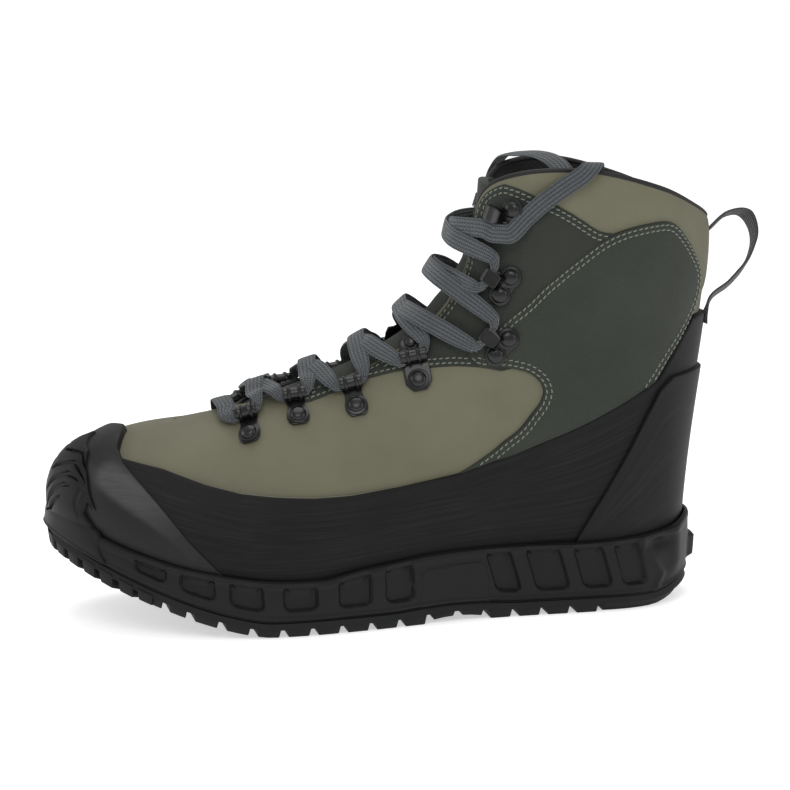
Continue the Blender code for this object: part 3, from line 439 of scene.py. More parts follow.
def blendColours(finish, source, output, stops):
    ramp = addNode(finish, "ShaderNodeValToRGB")
    while len(ramp.color_ramp.elements) < len(stops):
        ramp.color_ramp.elements.new(0.5)
    for element, (place, colour) in zip(ramp.color_ramp.elements, stops):
        element.position = place
        element.color = (*colour, 1)
    join(finish, source, output, ramp, "Fac")
    return ramp


def mixColours(finish, factor, factorOutput, first, second):
    mixer = addNode(finish, "ShaderNodeMix", data_type="RGBA")
    join(finish, factor, factorOutput, mixer, 0)
    for socket, value in ((6, first), (7, second)):
        if isinstance(value, tuple):
            mixer.inputs[socket].default_value = (*value, 1)
        else:
            join(finish, value, "Color" if value.bl_idname == "ShaderNodeValToRGB" else 2, mixer, socket)
    return mixer


def paint(finish, source, output):
    join(finish, source, output, finish.node_tree.nodes["Principled BSDF"], "Base Color")


def roughenBy(finish, source, output, low, high):
    span = addNode(finish, "ShaderNodeMapRange", {"To Min": low, "To Max": high})
    join(finish, source, output, span, "Value")
    join(finish, span, "Result", finish.node_tree.nodes["Principled BSDF"], "Roughness")


def raiseBy(finish, *layers):    # each layer: node, output, strength, distance in metres
    last = None
    for source, output, strength, distance in layers:
        bump = addNode(finish, "ShaderNodeBump", {"Strength": strength, "Distance": distance})
        join(finish, source, output, bump, "Height")
        if last:
            join(finish, last, "Normal", bump, "Normal")
        last = bump
    join(finish, last, "Normal", finish.node_tree.nodes["Principled BSDF"], "Normal")


def coatedCloth(name, dark, light, weave, roughness=0.62):
    made = newFinish(name, light, roughness,
                     **{"Specular IOR Level": 0.35, "Sheen Weight": 0.04, "Sheen Roughness": 0.5})
    clouds = noiseNode(made, "Object", 22, 5)
    ramp = blendColours(made, clouds, "Fac", ((0.3, dark), (0.7, light)))
    paint(made, ramp, "Color")
    grain = noiseNode(made, "Object", 1500, 3)
    lines = bandNode(made, weave["period"], "Y", distortion=0.6, turn=(0, 0, weave["turn"]))
    cross = bandNode(made, weave["period"] * 1.15, "X", distortion=0.8, turn=(0, 0, weave["turn"]))
    dents = noiseNode(made, "Object", 60, 2)
    raiseBy(made, (dents, "Fac", 0.25, 0.0012), (lines, "Fac", weave["depth"], 0.00025),
            (cross, "Fac", weave["depth"] * 0.6, 0.00022), (grain, "Fac", 0.22, 0.00018))
    roughenBy(made, grain, "Fac", roughness - 0.08, roughness + 0.12)
    return made


def rubber(name, dark, light, streak, roughness, space="UV"):
    made = newFinish(name, dark, roughness, **{"Specular IOR Level": 0.2})
    scratches = noiseNode(made, space, 30, 6, stretch=streak["stretch"], turn=(0, 0, streak["turn"]))
    dust = noiseNode(made, "Object", 40, 6)
    ramp = blendColours(made, scratches, "Fac", ((0.44, dark), (0.7, light)))
    mixer = mixColours(made, dust, "Fac", ramp, dark)
    paint(made, mixer, 2)
    grain = noiseNode(made, "Object", 1800, 2)
    raiseBy(made, (scratches, "Fac", streak["depth"], 0.0003), (grain, "Fac", 0.15, 0.0001))
    roughenBy(made, scratches, "Fac", roughness - 0.1, roughness + 0.14)
    return made


# The cap's rubber: the pad's paler colour is a painted sheen, blended in by the cap's sheen mask (brightest
# at the pad's top, fading downward); the brushed streaks are the rubber's own texture.
def sheenPaintedRubber(name, dark, light, roughness):    # the cap: darker, with a paler raised pad
    made = newFinish(name, dark, roughness, **{"Specular IOR Level": 0.32})
    mask = addNode(made, "ShaderNodeAttribute", attribute_name="paintedSheen")
    brushed = noiseNode(made, "Object", 55, 6, stretch=(1.5, 1, 16), turn=(0, 0.25, 0))
    ramp = blendColours(made, brushed, "Fac", ((0.32, light), (0.75, tuple(c * 1.7 for c in light))))
    mixer = mixColours(made, mask, "Fac", dark, ramp)
    paint(made, mixer, 2)
    grain = noiseNode(made, "Object", 1600, 2)
    raiseBy(made, (brushed, "Fac", 0.12, 0.0003), (grain, "Fac", 0.12, 0.0001))
    roughenBy(made, brushed, "Fac", roughness - 0.08, roughness + 0.12)
    return made


def wovenTape(name, dark, light, ribPeriod, crossPeriod, depth):
    made = newFinish(name, light, 0.85, **{"Specular IOR Level": 0.25, "Sheen Weight": 0.25,
                                           "Sheen Roughness": 0.4})
    ribs = bandNode(made, ribPeriod, "X")
    cross = bandNode(made, crossPeriod, "Y", distortion=1.5)
    slant = bandNode(made, crossPeriod, "DIAGONAL")
    clouds = noiseNode(made, "Object", 260, 4)
    ramp = blendColours(made, ribs, "Fac", ((0.05, dark), (0.45, light)))
    mixer = mixColours(made, clouds, "Fac", ramp, tuple((a + b) / 2 for a, b in zip(dark, light)))
    paint(made, mixer, 2)
    raiseBy(made, (ribs, "Fac", depth, 0.00045), (cross, "Fac", depth * 0.7, 0.0003),
            (slant, "Fac", depth * 0.5, 0.00025))
    return made


def blackPaint(name, colour, roughness):
    made = newFinish(name, colour, roughness,
                     **{"Specular IOR Level": 0.3, "Coat Weight": 0.22, "Coat Roughness": 0.14})
    wear = noiseNode(made, "Object", 420, 5)
    ramp = blendColours(made, wear, "Fac", ((0.45, colour), (0.8, tuple(c * 2.2 for c in colour))))
    paint(made, ramp, "Color")
    roughenBy(made, wear, "Fac", roughness - 0.06, roughness + 0.16)
    raiseBy(made, (wear, "Fac", 0.06, 0.0002))
    return made


khaki = coatedCloth("khakiCoated", (0.105, 0.101, 0.063), (0.13, 0.124, 0.079),
                    {"period": 0.0006, "turn": 0.0, "depth": 0.1}, 0.6)
olive = coatedCloth("oliveCloth", (0.0145, 0.019, 0.0128), (0.0225, 0.0275, 0.0195),
                    {"period": 0.0009, "turn": 0.25, "depth": 0.42}, 0.66)
darkOlive = coatedCloth("darkOliveCloth", (0.0115, 0.015, 0.0103), (0.0175, 0.0212, 0.0152),
                        {"period": 0.0008, "turn": 0.1, "depth": 0.36}, 0.66)
randRubber = rubber("brushedRubber", (0.0018, 0.0018, 0.002), (0.018, 0.018, 0.0188),
                    {"stretch": (0.8, 40, 1), "turn": 0.03, "depth": 0.45}, 0.56)
foxingRubber = rubber("heelRubber", (0.004, 0.004, 0.0044), (0.019, 0.019, 0.0205),
                      {"stretch": (0.5, 18, 1), "turn": 0.0, "depth": 0.25}, 0.55)
capRubber = sheenPaintedRubber("capRubber", (0.0036, 0.0036, 0.0038), (0.033, 0.034, 0.033), 0.5)
soleRubber = rubber("mouldedRubber", (0.0059, 0.0056, 0.0056), (0.0099, 0.0095, 0.0095),
                    {"stretch": (1, 1, 1), "turn": 0.0, "depth": 0.1}, 0.5, "Object")
treadRubber = rubber("treadRubber", (0.0066, 0.0069, 0.0077), (0.0132, 0.0138, 0.0154),
                     {"stretch": (1, 1, 1), "turn": 0.0, "depth": 0.12}, 0.58, "Object")
laceCloth = wovenTape("laceWeave", (0.014, 0.0165, 0.018), (0.104, 0.115, 0.123), 0.0018, 0.0011, 1.0)
webbing = wovenTape("webbingWeave", (0.016, 0.0168, 0.016), (0.048, 0.0504, 0.048), 0.0012, 0.001, 0.8)
lining = coatedCloth("darkLining", (0.012, 0.012, 0.012), (0.022, 0.022, 0.021),
                     {"period": 0.0014, "turn": 0.7, "depth": 0.6}, 0.85)
piping = coatedCloth("blackBinding", (0.0035, 0.0035, 0.0035), (0.0075, 0.0075, 0.0075),
                     {"period": 0.0007, "turn": 0.0, "depth": 0.3}, 0.6)
tongueCloth = coatedCloth("tongueMesh", (0.02, 0.023, 0.018), (0.04, 0.045, 0.036),
                          {"period": 0.0016, "turn": 0.78, "depth": 0.9}, 0.8)
thread = newFinish("paleThread", (0.15, 0.168, 0.132), 0.75, **{"Sheen Weight": 0.2})
# Pale colour of the thin cord over the rand's top edge: a painted highlight.
paleEdgeHighlight = newFinish("paleEdgeHighlight", (0.15, 0.148, 0.118), 0.6)
metal = blackPaint("blackMetal", (0.0035, 0.0035, 0.004), 0.27)
print("finishes made")


# Making and finishing pieces.
def pick(piece):
    bpy.ops.object.select_all(action="DESELECT")
    piece.select_set(True)
    bpy.context.view_layer.objects.active = piece


def added(adder, **settings):    # a new mesh from one of Blender's own shapes
    bpy.ops.object.select_all(action="DESELECT")
    adder(**settings)
    return bpy.context.object


def edited(piece, change, **settings):    # one edit to the whole mesh
    pick(piece)
    bpy.ops.object.mode_set(mode="EDIT")
    bpy.ops.mesh.select_all(action="SELECT")
    change(**settings)
    bpy.ops.object.mode_set(mode="OBJECT")
    return piece


def placed(piece):    # its place goes into the mesh
    pick(piece)
    bpy.ops.object.transform_apply(location=True, rotation=True, scale=True)
    return piece


def bendSheet(name, columns, rows, place, uvSize=(1.0, 1.0)):    # a flat grid laid where place says
    sheet = added(bpy.ops.mesh.primitive_grid_add, x_subdivisions=columns, y_subdivisions=rows, size=1,
                  calc_uvs=True)
    sheet.name = sheet.data.name = name
    for vert in sheet.data.vertices:
        vert.co = place(vert.co.x + 0.5, vert.co.y + 0.5)
    for entry in sheet.data.uv_layers[0].data:
        entry.uv = (entry.uv[0] * uvSize[0], entry.uv[1] * uvSize[1])
    return sheet


def applied(piece, kind, **settings):
    pick(piece)
    made = piece.modifiers.new(kind.lower(), kind)
    for key, value in settings.items():
        setattr(made, key, value)
    bpy.ops.object.modifier_apply(modifier=made.name)
    return piece


def thicken(piece, wall, offset=-1.0, even=False):
    return applied(piece, "SOLIDIFY", thickness=wall, offset=offset, use_even_offset=even,
                   use_quality_normals=True)


def rounded(piece, width, segments=2, angle=40):
    return applied(piece, "BEVEL", width=width, segments=segments, limit_method="ANGLE",
                   angle_limit=math.radians(angle))


def turnedOut(piece):
    return edited(piece, bpy.ops.mesh.normals_make_consistent, inside=False)


def merged(piece, distance):
    return edited(piece, bpy.ops.mesh.remove_doubles, threshold=distance)


def sealed(piece, distance=1e-6):    # a closed skin, its faces turned outwards
    return turnedOut(merged(piece, distance))


def united(pieces, name):
    bpy.ops.object.select_all(action="DESELECT")
    for piece in pieces:
        piece.select_set(True)
    bpy.context.view_layer.objects.active = pieces[0]
    bpy.ops.object.join()
    pieces[0].name = pieces[0].data.name = name
    return pieces[0]


def dressed(piece, *finishes):
    piece.data.materials.clear()
    for made in finishes:
        piece.data.materials.append(made)


def settled(piece, *finishes, angle=45):    # place into the mesh, smooth, finishes on, rides the one body
    placed(piece)
    bpy.ops.object.shade_smooth_by_angle(angle=math.radians(angle))
    dressed(piece, *finishes)
    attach(piece, "root")
    return piece


def meshFrom(name, points, faces, uvs=None):
    mesh = bpy.data.meshes.new(name)
    mesh.from_pydata([tuple(point) for point in points], [], faces)
    mesh.update()
    piece = bpy.data.objects.new(name, mesh)
    bpy.context.collection.objects.link(piece)
    if uvs:
        layer = mesh.uv_layers.new(name="UVMap")
        for entry in mesh.loops:
            layer.data[entry.index].uv = uvs[entry.vertex_index]
    return piece


def copied(piece, name):
    twin = piece.copy()
    twin.data = piece.data.copy()
    twin.name = twin.data.name = name
    bpy.context.collection.objects.link(twin)
    return twin


def tight(share, pull=0.85):    # packs steps towards both ends
    return share - math.sin(2 * math.pi * share) / (2 * math.pi) * pull


def clamped(value):
    return min(max(value, 0.0), 1.0)


def roundEdge(distance, radius):
    return math.sqrt(max(1 - (1 - clamped(distance / radius)) ** 2, 0.0))


def softStep(value, low, high):
    share = clamped((value - low) / (high - low))
    return share * share * (3 - 2 * share)


def bell(distance, width):
    return math.exp(-(distance / width) ** 2)


def nearSegment(point, start, end):    # seen from the side: nearest share along a line, and its distance
    a, b, p = Vector(start), Vector(end), Vector((point.x, point.z))
    share = clamped((p - a).dot(b - a) / (b - a).length_squared)
    return share, (p - a.lerp(b, share)).length


def sideFaces(count, sides, loop=False):    # the faces between rings of points
    faces = []
    for index in range(count if loop else count - 1):
        low, high = index * sides, (index + 1) % count * sides
        for step in range(sides):
            after = (step + 1) % sides
            faces.append((low + step, low + after, high + after, high + step))
    if not loop:
        faces.append(tuple(range(sides - 1, -1, -1)))
        faces.append(tuple(range((count - 1) * sides, count * sides)))
    return faces


def tubeAlong(name, points, outs, sizes, sides, loop=False):    # a round cord
    verts = []
    count = len(points)
    for index, (point, out, size) in enumerate(zip(points, outs, sizes)):
        ahead = points[(index + 1) % count if loop else min(index + 1, count - 1)]
        behind = points[index - 1 if loop else max(index - 1, 0)]
        run = (ahead - behind).normalized()
        across = run.cross(out).normalized()
        face = across.cross(run).normalized()
        for step in range(sides):
            turn = 2 * math.pi * step / sides
            verts.append(point + across * math.cos(turn) * size + face * math.sin(turn) * size)
    return sealed(meshFrom(name, verts, sideFaces(count, sides, loop)), 1e-7)


# The upper: a hollow shell with its lining, under the sewn panels.
upperMake = {"shellDrop": 0.0006, "wall": 0.0019, "collarPuff": 0.0016, "puffRow": 12.2, "puffHeight": 0.15}
# Creases seen from the side: from, to, depth, width.
creases = (((-0.196, 0.088), (-0.168, 0.07), 0.0007, 0.007), ((-0.178, 0.094), (-0.15, 0.074), 0.0006, 0.006),
           ((-0.062, 0.112), (-0.03, 0.098), 0.0004, 0.006), ((-0.052, 0.15), (-0.02, 0.158), 0.0006, 0.006),
           ((0.005, 0.2), (0.03, 0.196), 0.0005, 0.008))
collarSeam = ((-0.052, 0.2085), (-0.041, 0.206), (-0.03, 0.201), (-0.016, 0.194), (-0.004, 0.186),
              (0.006, 0.185), (0.019, 0.188), (0.031, 0.189), (0.037, 0.187), (0.043, 0.181), (0.048, 0.174),
              (0.06, 0.15))


def creaseDepth(point):
    depth = 0.0
    for start, end, deep, wide in creases:
        share, away = nearSegment(point, start, end)
        depth += deep * bell(away, wide) * (0.35 + 0.65 * math.sin(math.pi * share))
    return depth


def collarFill(v, side, point):    # 1 on the padded collar, fading to 0 at its seam and its top
    if v < upperMake["puffRow"] or point.z < upperMake["puffHeight"]:
        return 0.0
    above = point.z - tableUp(collarSeam, point.x)
    below = onLast(v, side, 1).z - point.z
    if above <= 0:
        return 0.0
    return (1 - math.exp(-above / 0.005)) * (1 - math.exp(-max(below, 0.0) / 0.004))


def makeUpper():
    halves = []
    for side in (lateral, medial):
        def place(s, t):
            v = s * heelRow if side == lateral else (1 - s) * heelRow
            point = onLast(v, side, t)
            off = -upperMake["shellDrop"] - creaseDepth(point)
            off += upperMake["collarPuff"] * collarFill(v, side, point)
            return point + outOfLast(v, side, t) * off
        halves.append(bendSheet("upperHalf", 150, 54, place, (0.31, 0.15)))
    shell = merged(united(halves, "upperShell"), 0.00012)
    dressed(shell, khaki, lining)
    applied(shell, "SOLIDIFY", thickness=upperMake["wall"], offset=-1, use_even_offset=False,
            material_offset=1, material_offset_rim=1)
    pick(shell)
    bpy.ops.object.shade_smooth_by_angle(angle=math.radians(50))
    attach(shell, "root")
    return shell


upperShell = makeUpper()
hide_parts("upper")
print("upper made")


# Sewn panels: outlines seen from the side (x, z in metres); the inner side takes the same places.
quarterPanel = {"rise": 0.0013, "sink": -0.0009, "rows": (0.0017, 0.004), "outline": (
    (-0.0655, 0.1275), (-0.064, 0.133), (-0.058, 0.1365), (-0.05, 0.1415), (-0.041, 0.1495), (-0.03, 0.1605),
    (-0.018, 0.1705), (-0.006, 0.1795), (0.006, 0.1855), (0.019, 0.1885), (0.03, 0.1895), (0.0365, 0.1875),
    (0.043, 0.181), (0.049, 0.1725), (0.0535, 0.164), (0.054, 0.156), (0.0525, 0.149), (0.048, 0.14),
    (0.042, 0.131), (0.035, 0.122), (0.025, 0.108), (0.01, 0.09), (-0.02, 0.07), (-0.05, 0.063),
    (-0.074, 0.064), (-0.08, 0.069), (-0.072, 0.0715), (-0.06, 0.078), (-0.049, 0.086), (-0.04, 0.093),
    (-0.0335, 0.101), (-0.0308, 0.106), (-0.0302, 0.11), (-0.0325, 0.1145), (-0.037, 0.118), (-0.044, 0.12),
    (-0.052, 0.1208), (-0.06, 0.1212), (-0.064, 0.1235))}
eyestayPanel = {"rise": 0.0006, "sink": -0.001, "rows": (0.0017, 0.004), "front": 6.75, "back": 12.93,
                "edgeH": 0.985, "low": (
    (-0.144, 0.105), (-0.14, 0.1055), (-0.128, 0.1095), (-0.119, 0.1135), (-0.11, 0.116), (-0.1, 0.1185),
    (-0.086, 0.1205), (-0.074, 0.1215), (-0.06, 0.121), (-0.045, 0.12), (-0.03, 0.13), (-0.01, 0.15),
    (0.005, 0.17), (0.006, 0.183), (-0.004, 0.1862), (-0.016, 0.194), (-0.023, 0.198), (-0.03, 0.201),
    (-0.041, 0.2062), (-0.048, 0.2085))}
panelMake = {"border": 0.0012, "edgeRadius": 0.0011, "wall": 0.0007, "filling": 0.0064, "fillH": 0.0022,
             "fillV": 0.0026, "rowDepth": 0.00025, "rowWidth": 0.00045, "between": 0.0007, "swell": 0.0003}
# Rings of points inside a panel's outline: distance, and one of how many places is kept.
panelRings = ((0.0003, 1), (0.0007, 1), (0.0012, 1), (0.0017, 1), (0.0023, 1), (0.003, 2), (0.004, 2),
              (0.005, 3))
stitchMake = {"length": 0.0024, "pitch": 0.003, "thick": 0.00034, "lift": 0.00012, "cut": 0.0007,
              "endSize": 0.45, "endDrop": 0.00045, "turn": 0.16, "sink": 0.00015}


def insidePolygon(x, y, polygon):
    inside = False
    for (ax, ay), (bx, by) in zip(polygon, polygon[1:] + polygon[:1]):
        if (ay > y) != (by > y) and x < (bx - ax) * (y - ay) / (by - ay) + ax:
            inside = not inside
    return inside


def evenly(places, side, step):    # places along a closed line on the last, a step apart
    line = [onLast(v, side, h) for v, h in places]
    lengths = [0.0]
    for a, b in zip(line, line[1:] + line[:1]):
        lengths.append(lengths[-1] + (b - a).length)
    count = max(int(lengths[-1] / step), 8)
    result, index = [], 0
    closed = places + places[:1]
    for number in range(count):
        goal = lengths[-1] * number / count
        while lengths[index + 1] < goal:
            index += 1
        share = (goal - lengths[index]) / max(lengths[index + 1] - lengths[index], 1e-9)
        (av, ah), (bv, bh) = closed[index], closed[index + 1]
        result.append((av + (bv - av) * share, ah + (bh - ah) * share))
    return result


# Places a distance inside an outline; None where they meet.
def inset(outline, side, distance, tree, keep=0.86):
    result = []
    count = len(outline)
    for index, (v, h) in enumerate(outline):
        ahead, behind = outline[(index + 1) % count], outline[index - 1]
        run = (onLast(ahead[0], side, ahead[1]) - onLast(behind[0], side, behind[1])).normalized()
        out = outOfLast(v, side, h)
        best = None
        for heading in (out.cross(run).normalized(), run.cross(out).normalized()):
            place = walkFrom(v, side, h, heading, distance, 2 if distance > 0.002 else 1)
            if place[1] < 0.9995 and insidePolygon(*place, outline):
                if tree.find(onLast(place[0], side, place[1]))[2] > distance * keep:
                    best = place
        result.append(best)
    return result


def panelOnLast(name, side, outline, make):
    outline = evenly(outline, side, panelMake["border"])
    border = [onLast(v, side, h) for v, h in outline]
    tree = KDTree(len(border))
    for index, point in enumerate(border):
        tree.insert(point, index)
    tree.balance()
    places = list(outline)
    for distance, skip in panelRings:
        ring = inset(outline, side, distance, tree)
        places += [place for place in ring[::skip] if place]
    v, highV = min(v for v, h in outline), max(v for v, h in outline)
    lowH, highH = min(h for v, h in outline), max(h for v, h in outline)
    while v < highV:
        h = lowH
        while h < highH:
            if insidePolygon(v, h, outline) and tree.find(onLast(v, side, h))[2] > panelMake["filling"]:
                places.append((v, h))
            h += panelMake["fillH"] / ribHeight
        v += panelMake["fillV"] / ribGap
    scaled = [Vector((v * ribGap, h * ribHeight)) for v, h in places]
    points, _, faces, *_ = delaunay_2d_cdt(scaled, [], [list(range(len(outline)))], 1, 1e-7)
    verts, uvs = [], []
    for point in points:
        v, h = point.x / ribGap, point.y / ribHeight
        here = onLast(v, side, h)
        depth = tree.find(here)[2]
        off = make["sink"] + (make["rise"] - make["sink"]) * roundEdge(depth, panelMake["edgeRadius"])
        for row in make["rows"]:
            off -= panelMake["rowDepth"] * bell(depth - row, panelMake["rowWidth"])
        off += panelMake["rowDepth"] * bell(depth - sum(make["rows"]) / 2, panelMake["between"])
        off += panelMake["swell"] * softStep(depth, 0.0045, 0.009) - creaseDepth(here) * 0.8
        verts.append(here + outOfLast(v, side, h) * off)
        uvs.append((point.x, point.y))
    piece = meshFrom(name, verts, [tuple(face) for face in faces], uvs)
    centre = piece.data.polygons[len(piece.data.polygons) // 2]
    x, y = uvs[centre.vertices[0]]
    if centre.normal.dot(outOfLast(x / ribGap, side, y / ribHeight)) < 0:
        piece.data.flip_normals()
    thicken(piece, panelMake["wall"])
    return piece, [inset(outline, side, row, tree, 0.93) for row in make["rows"]]


def stitchUnit():    # one stitch, pulled down at its ends
    unit = added(bpy.ops.mesh.primitive_cylinder_add, vertices=6, radius=stitchMake["thick"],
                 depth=stitchMake["length"], rotation=(0, math.pi / 2, 0), end_fill_type="NGON")
    placed(unit)
    for cut in (-stitchMake["cut"], stitchMake["cut"]):
        edited(unit, bpy.ops.mesh.bisect, plane_co=(cut, 0, 0), plane_no=(1, 0, 0))
    for vert in unit.data.vertices:
        if abs(vert.co.x) > 0.9 * stitchMake["length"] / 2:
            vert.co.y *= stitchMake["endSize"]
            vert.co.z = vert.co.z * stitchMake["endSize"] - stitchMake["endDrop"]
    return unit


unitStitch = stitchUnit()
stitchVerts = [vert.co.copy() for vert in unitStitch.data.vertices]
stitchFaces = [tuple(polygon.vertices) for polygon in unitStitch.data.polygons]
bpy.data.objects.remove(unitStitch)


def stitchesAlong(lines, name):    # lines: lists of (point, out) that a row of stitches follows
    pitch = stitchMake["pitch"]
    verts, faces = [], []
    for line in lines:
        travelled, goal = 0.0, pitch / 2
        for (a, outA), (b, outB) in zip(line, line[1:]):
            length = (b - a).length
            while length > 1e-9 and travelled + length >= goal:
                share = (goal - travelled) / length
                point, out = a.lerp(b, share), outA.lerp(outB, share).normalized()
                run = (b - a).normalized()
                wide = out.cross(run).normalized()
                turned = Matrix((run, wide, out)).transposed() @ Matrix.Rotation(stitchMake["turn"], 3, "Z")
                first = len(verts)
                verts += [point + out * stitchMake["lift"] + turned @ co for co in stitchVerts]
                faces += [tuple(first + corner for corner in face) for face in stitchFaces]
                goal += pitch
            travelled += length
    return meshFrom(name, verts, faces)


def splitLine(places, side, make, hide):    # rows of stitches, broken where the panel is too narrow or hidden
    lines, current = [], []
    for place in places + [None]:
        if place is None or hide(onLast(place[0], side, place[1])):
            if len(current) > 3:
                lines.append(current)
            current = []
            continue
        v, h = place
        out = outOfLast(v, side, h)
        current.append((onLast(v, side, h) + out * (make["rise"] - stitchMake["sink"]), out))
    return lines


def sideOutline(points):
    places, guess = [], None
    for x, z in points:
        guess = placeFromSide(lateral, x, z, guess)
        places.append(guess)
    return places


def smoothLoop(places, steps):
    count = len(places)
    result = []
    for index in range(count):
        four = [Vector(places[(index + step) % count]) for step in (-1, 0, 1, 2)]
        result += [tuple(smoothBetween(*four, step / steps)) for step in range(steps)]
    return result


def makePanels():
    seams = []
    quarter = smoothLoop(sideOutline(quarterPanel["outline"]), 3)
    front, back = eyestayPanel["front"], eyestayPanel["back"]
    edge = [(front + (back - front) * step / 30, eyestayPanel["edgeH"]) for step in range(31)]
    low = curveThrough([Vector(place) for place in sideOutline(eyestayPanel["low"])], 3)
    eyestay = [tuple(place) for place in low] + edge[::-1]

    def underRand(point):
        return point.z < lineHeight(randTop, point) + 0.0005

    def underQuarter(point):
        return underRand(point) or insidePolygon(point.x, point.z, list(quarterPanel["outline"]))
    for side, word in ((lateral, "outer"), (medial, "inner")):
        piece, rows = panelOnLast("quarterPanel_" + word, side, quarter, quarterPanel)
        settled(piece, olive)
        for row in rows:
            seams += splitLine(row, side, quarterPanel, underRand)
        piece, rows = panelOnLast("eyestayPanel_" + word, side, eyestay, eyestayPanel)
        settled(piece, darkOlive)
        for row in rows:
            seams += splitLine(row, side, eyestayPanel, underQuarter)
    stitches = stitchesAlong(seams, "panelStitches")
    settled(stitches, thread, angle=60)
    print("panels made, stitches:", len(stitches.data.vertices) // len(stitchVerts))


makePanels()


# Rubber over the upper: rand, heel layer, toe cap and bumper.
randMake = {"seat": 0.0006, "wall": 0.0016, "foxingWall": 0.0016, "capWall": 0.002, "radius": 0.001,
            "thick": 0.0014, "pad": ((-0.237, 0.0735), (-0.202, 0.04)), "padRise": 0.0007, "padHalf": 0.0078,
            "padBow": 0.0016, "dot": (-0.2252, 0.045), "dotRadius": 0.001, "dotWall": 0.00028,
            "dotOut": 0.00265}


# Rubber from the sole up to a line.
def bandAround(name, line, startV, endV, columns, rows, top, extra=None):
    def place(s, t):
        v = startV + (endV - startV) * tight(s, 0.55)
        low = footOnRib(v, lateral) - 0.02
        high = max(lineOnRib(v, lateral, line), low + 0.002)
        h = low + (high - low) * tight(t, 0.88)
        here = onLast(v, lateral, h)
        edge = (onLast(v, lateral, high) - here).length
        off = top * roundEdge(edge, randMake["radius"]) - 0.0004
        if extra:
            off += extra(here)
        return here + outOfLast(v, lateral, h) * off
    return bendSheet(name, columns, rows, place, ((endV - startV) * ribGap, 0.07))


def bandEnds(start, end, holds):    # the rows where a band starts, on the outer and the inner side
    return [rowWhere(side, start, end, holds) for side in (lateral, medial)]


def makeRand():
    outer, inner = bandEnds(
        1, 6, lambda v, side: lineOnRib(v, side, "rand") > lineOnRib(v, side, "cap") + 0.05)
    top = randMake["seat"] + randMake["wall"] + 0.0004
    rand = bandAround("rubberRand", "rand", outer - 0.35, 2 * heelRow - inner + 0.35, 300, 26, top)
    thicken(rand, randMake["thick"])
    settled(rand, randRubber)
    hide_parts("rand")


def makeFoxing():
    outer, inner = bandEnds(11, 16, lambda v, side: lineOnRib(v, side, "foxing") > footOnRib(v, side) + 0.03)
    top = randMake["seat"] + randMake["wall"] + randMake["foxingWall"] + 0.0008
    foxing = bandAround("heelLayer", "foxing", outer - 0.15, 2 * heelRow - inner + 0.15, 170, 30, top)
    thicken(foxing, randMake["thick"])
    settled(foxing, foxingRubber)
    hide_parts("heel_foxing")


def padShape(point):    # 1 on the raised pad at the cap's side, 0 away from it
    a, b = Vector(randMake["pad"][0]), Vector(randMake["pad"][1])
    p = Vector((point.x, point.z))
    share = (p - a).dot(b - a) / (b - a).length_squared
    bow = randMake["padBow"] * math.sin(math.pi * clamped(share))
    side = (p - a).dot(Vector((b.y - a.y, -(b.x - a.x))).normalized())
    half = randMake["padHalf"] * (1 - 0.62 * softStep(share, 0.1, 1.0))
    across = abs(side + bow)
    if share < 0 or share > 1:
        across = max(across, nearSegment(point, a, b)[1])
    return (1 - softStep(across / half, 0.55, 1.15)) * (1 - 0.92 * softStep(share, 0.1, 0.95))


def makeCap():
    outer, inner = bandEnds(2, 8, lambda v, side: lineOnRib(v, side, "cap") < footOnRib(v, side) + 0.03)
    top = randMake["seat"] + randMake["capWall"] + 0.001
    cap = bandAround("toeCap", "cap", -inner, outer, 230, 60, top,
                     lambda here: randMake["padRise"] * padShape(here))
    # This mask is a painted sheen on the pad: 1 at the pad's top, fading downward along it and to 0 away from
    # it.
    mask = cap.data.attributes.new("paintedSheen", "FLOAT", "POINT")
    for index, vert in enumerate(cap.data.vertices):
        mask.data[index].value = padShape(vert.co)
    thicken(cap, randMake["thick"])
    settled(cap, capRubber)
    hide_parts("toe_cap")
    dots = []
    for side in (lateral, medial):
        v, h = placeFromSide(side, *randMake["dot"])
        out = outOfLast(v, side, h)
        dots.append(added(bpy.ops.mesh.primitive_torus_add, major_radius=randMake["dotRadius"],
                          minor_radius=randMake["dotWall"], major_segments=16, minor_segments=6,
                          location=onLast(v, side, h) + out * randMake["dotOut"],
                          rotation=out.to_track_quat("Z", "Y").to_euler()))
    ring = united(dots, "capVents")
    settled(ring, piping)


makeRand()
makeFoxing()
makeCap()
print("rand, heel layer and cap made")

# The midsole: a cup whose side has recessed windows, and the bumper that runs up from it.
soleMake = {"lugDepth": 0.0044, "plate": 0.0028, "lipWall": 0.0026, "ledge": 0.0036, "windowDepth": 0.0026,
            "dip": ((-0.25, 0.0), (-0.212, 0.0016), (-0.19, 0.002), (-0.163, 0.0031), (-0.139, 0.0034),
                    (-0.122, 0.0014), (-0.09, 0.0003), (-0.04, 0.0)),
            "rib": ((0.019, 0.0375), (0.019, 0.03), (0.025, 0.0245), (0.03, 0.017), (0.0275, 0.011)),
            "plateEdge": (-0.0935, -0.06)}
# Rings over the lip and down its inner side: rise, wall left.
lipRings = ((0.0005, 0.002), (0.0007, 0.0013), (0.0005, 0.0006), (0.0, 0.0), (-0.003, -0.0002))
# Windows of the midsole's side: from, to, lean.
soleWindows = ((-0.229, -0.2145, -0.06), (-0.2085, -0.1925, 0.02), (-0.186, -0.17, 0.06),
               (-0.161, -0.1445, 0.02), (-0.1345, -0.118, 0.0), (-0.111, -0.0965, 0.06),
               (-0.0565, -0.0435, 0.3), (-0.0363, -0.0192, 0.3), (-0.0127, 0.0024, 0.3),
               (0.0075, 0.0205, 0.28))


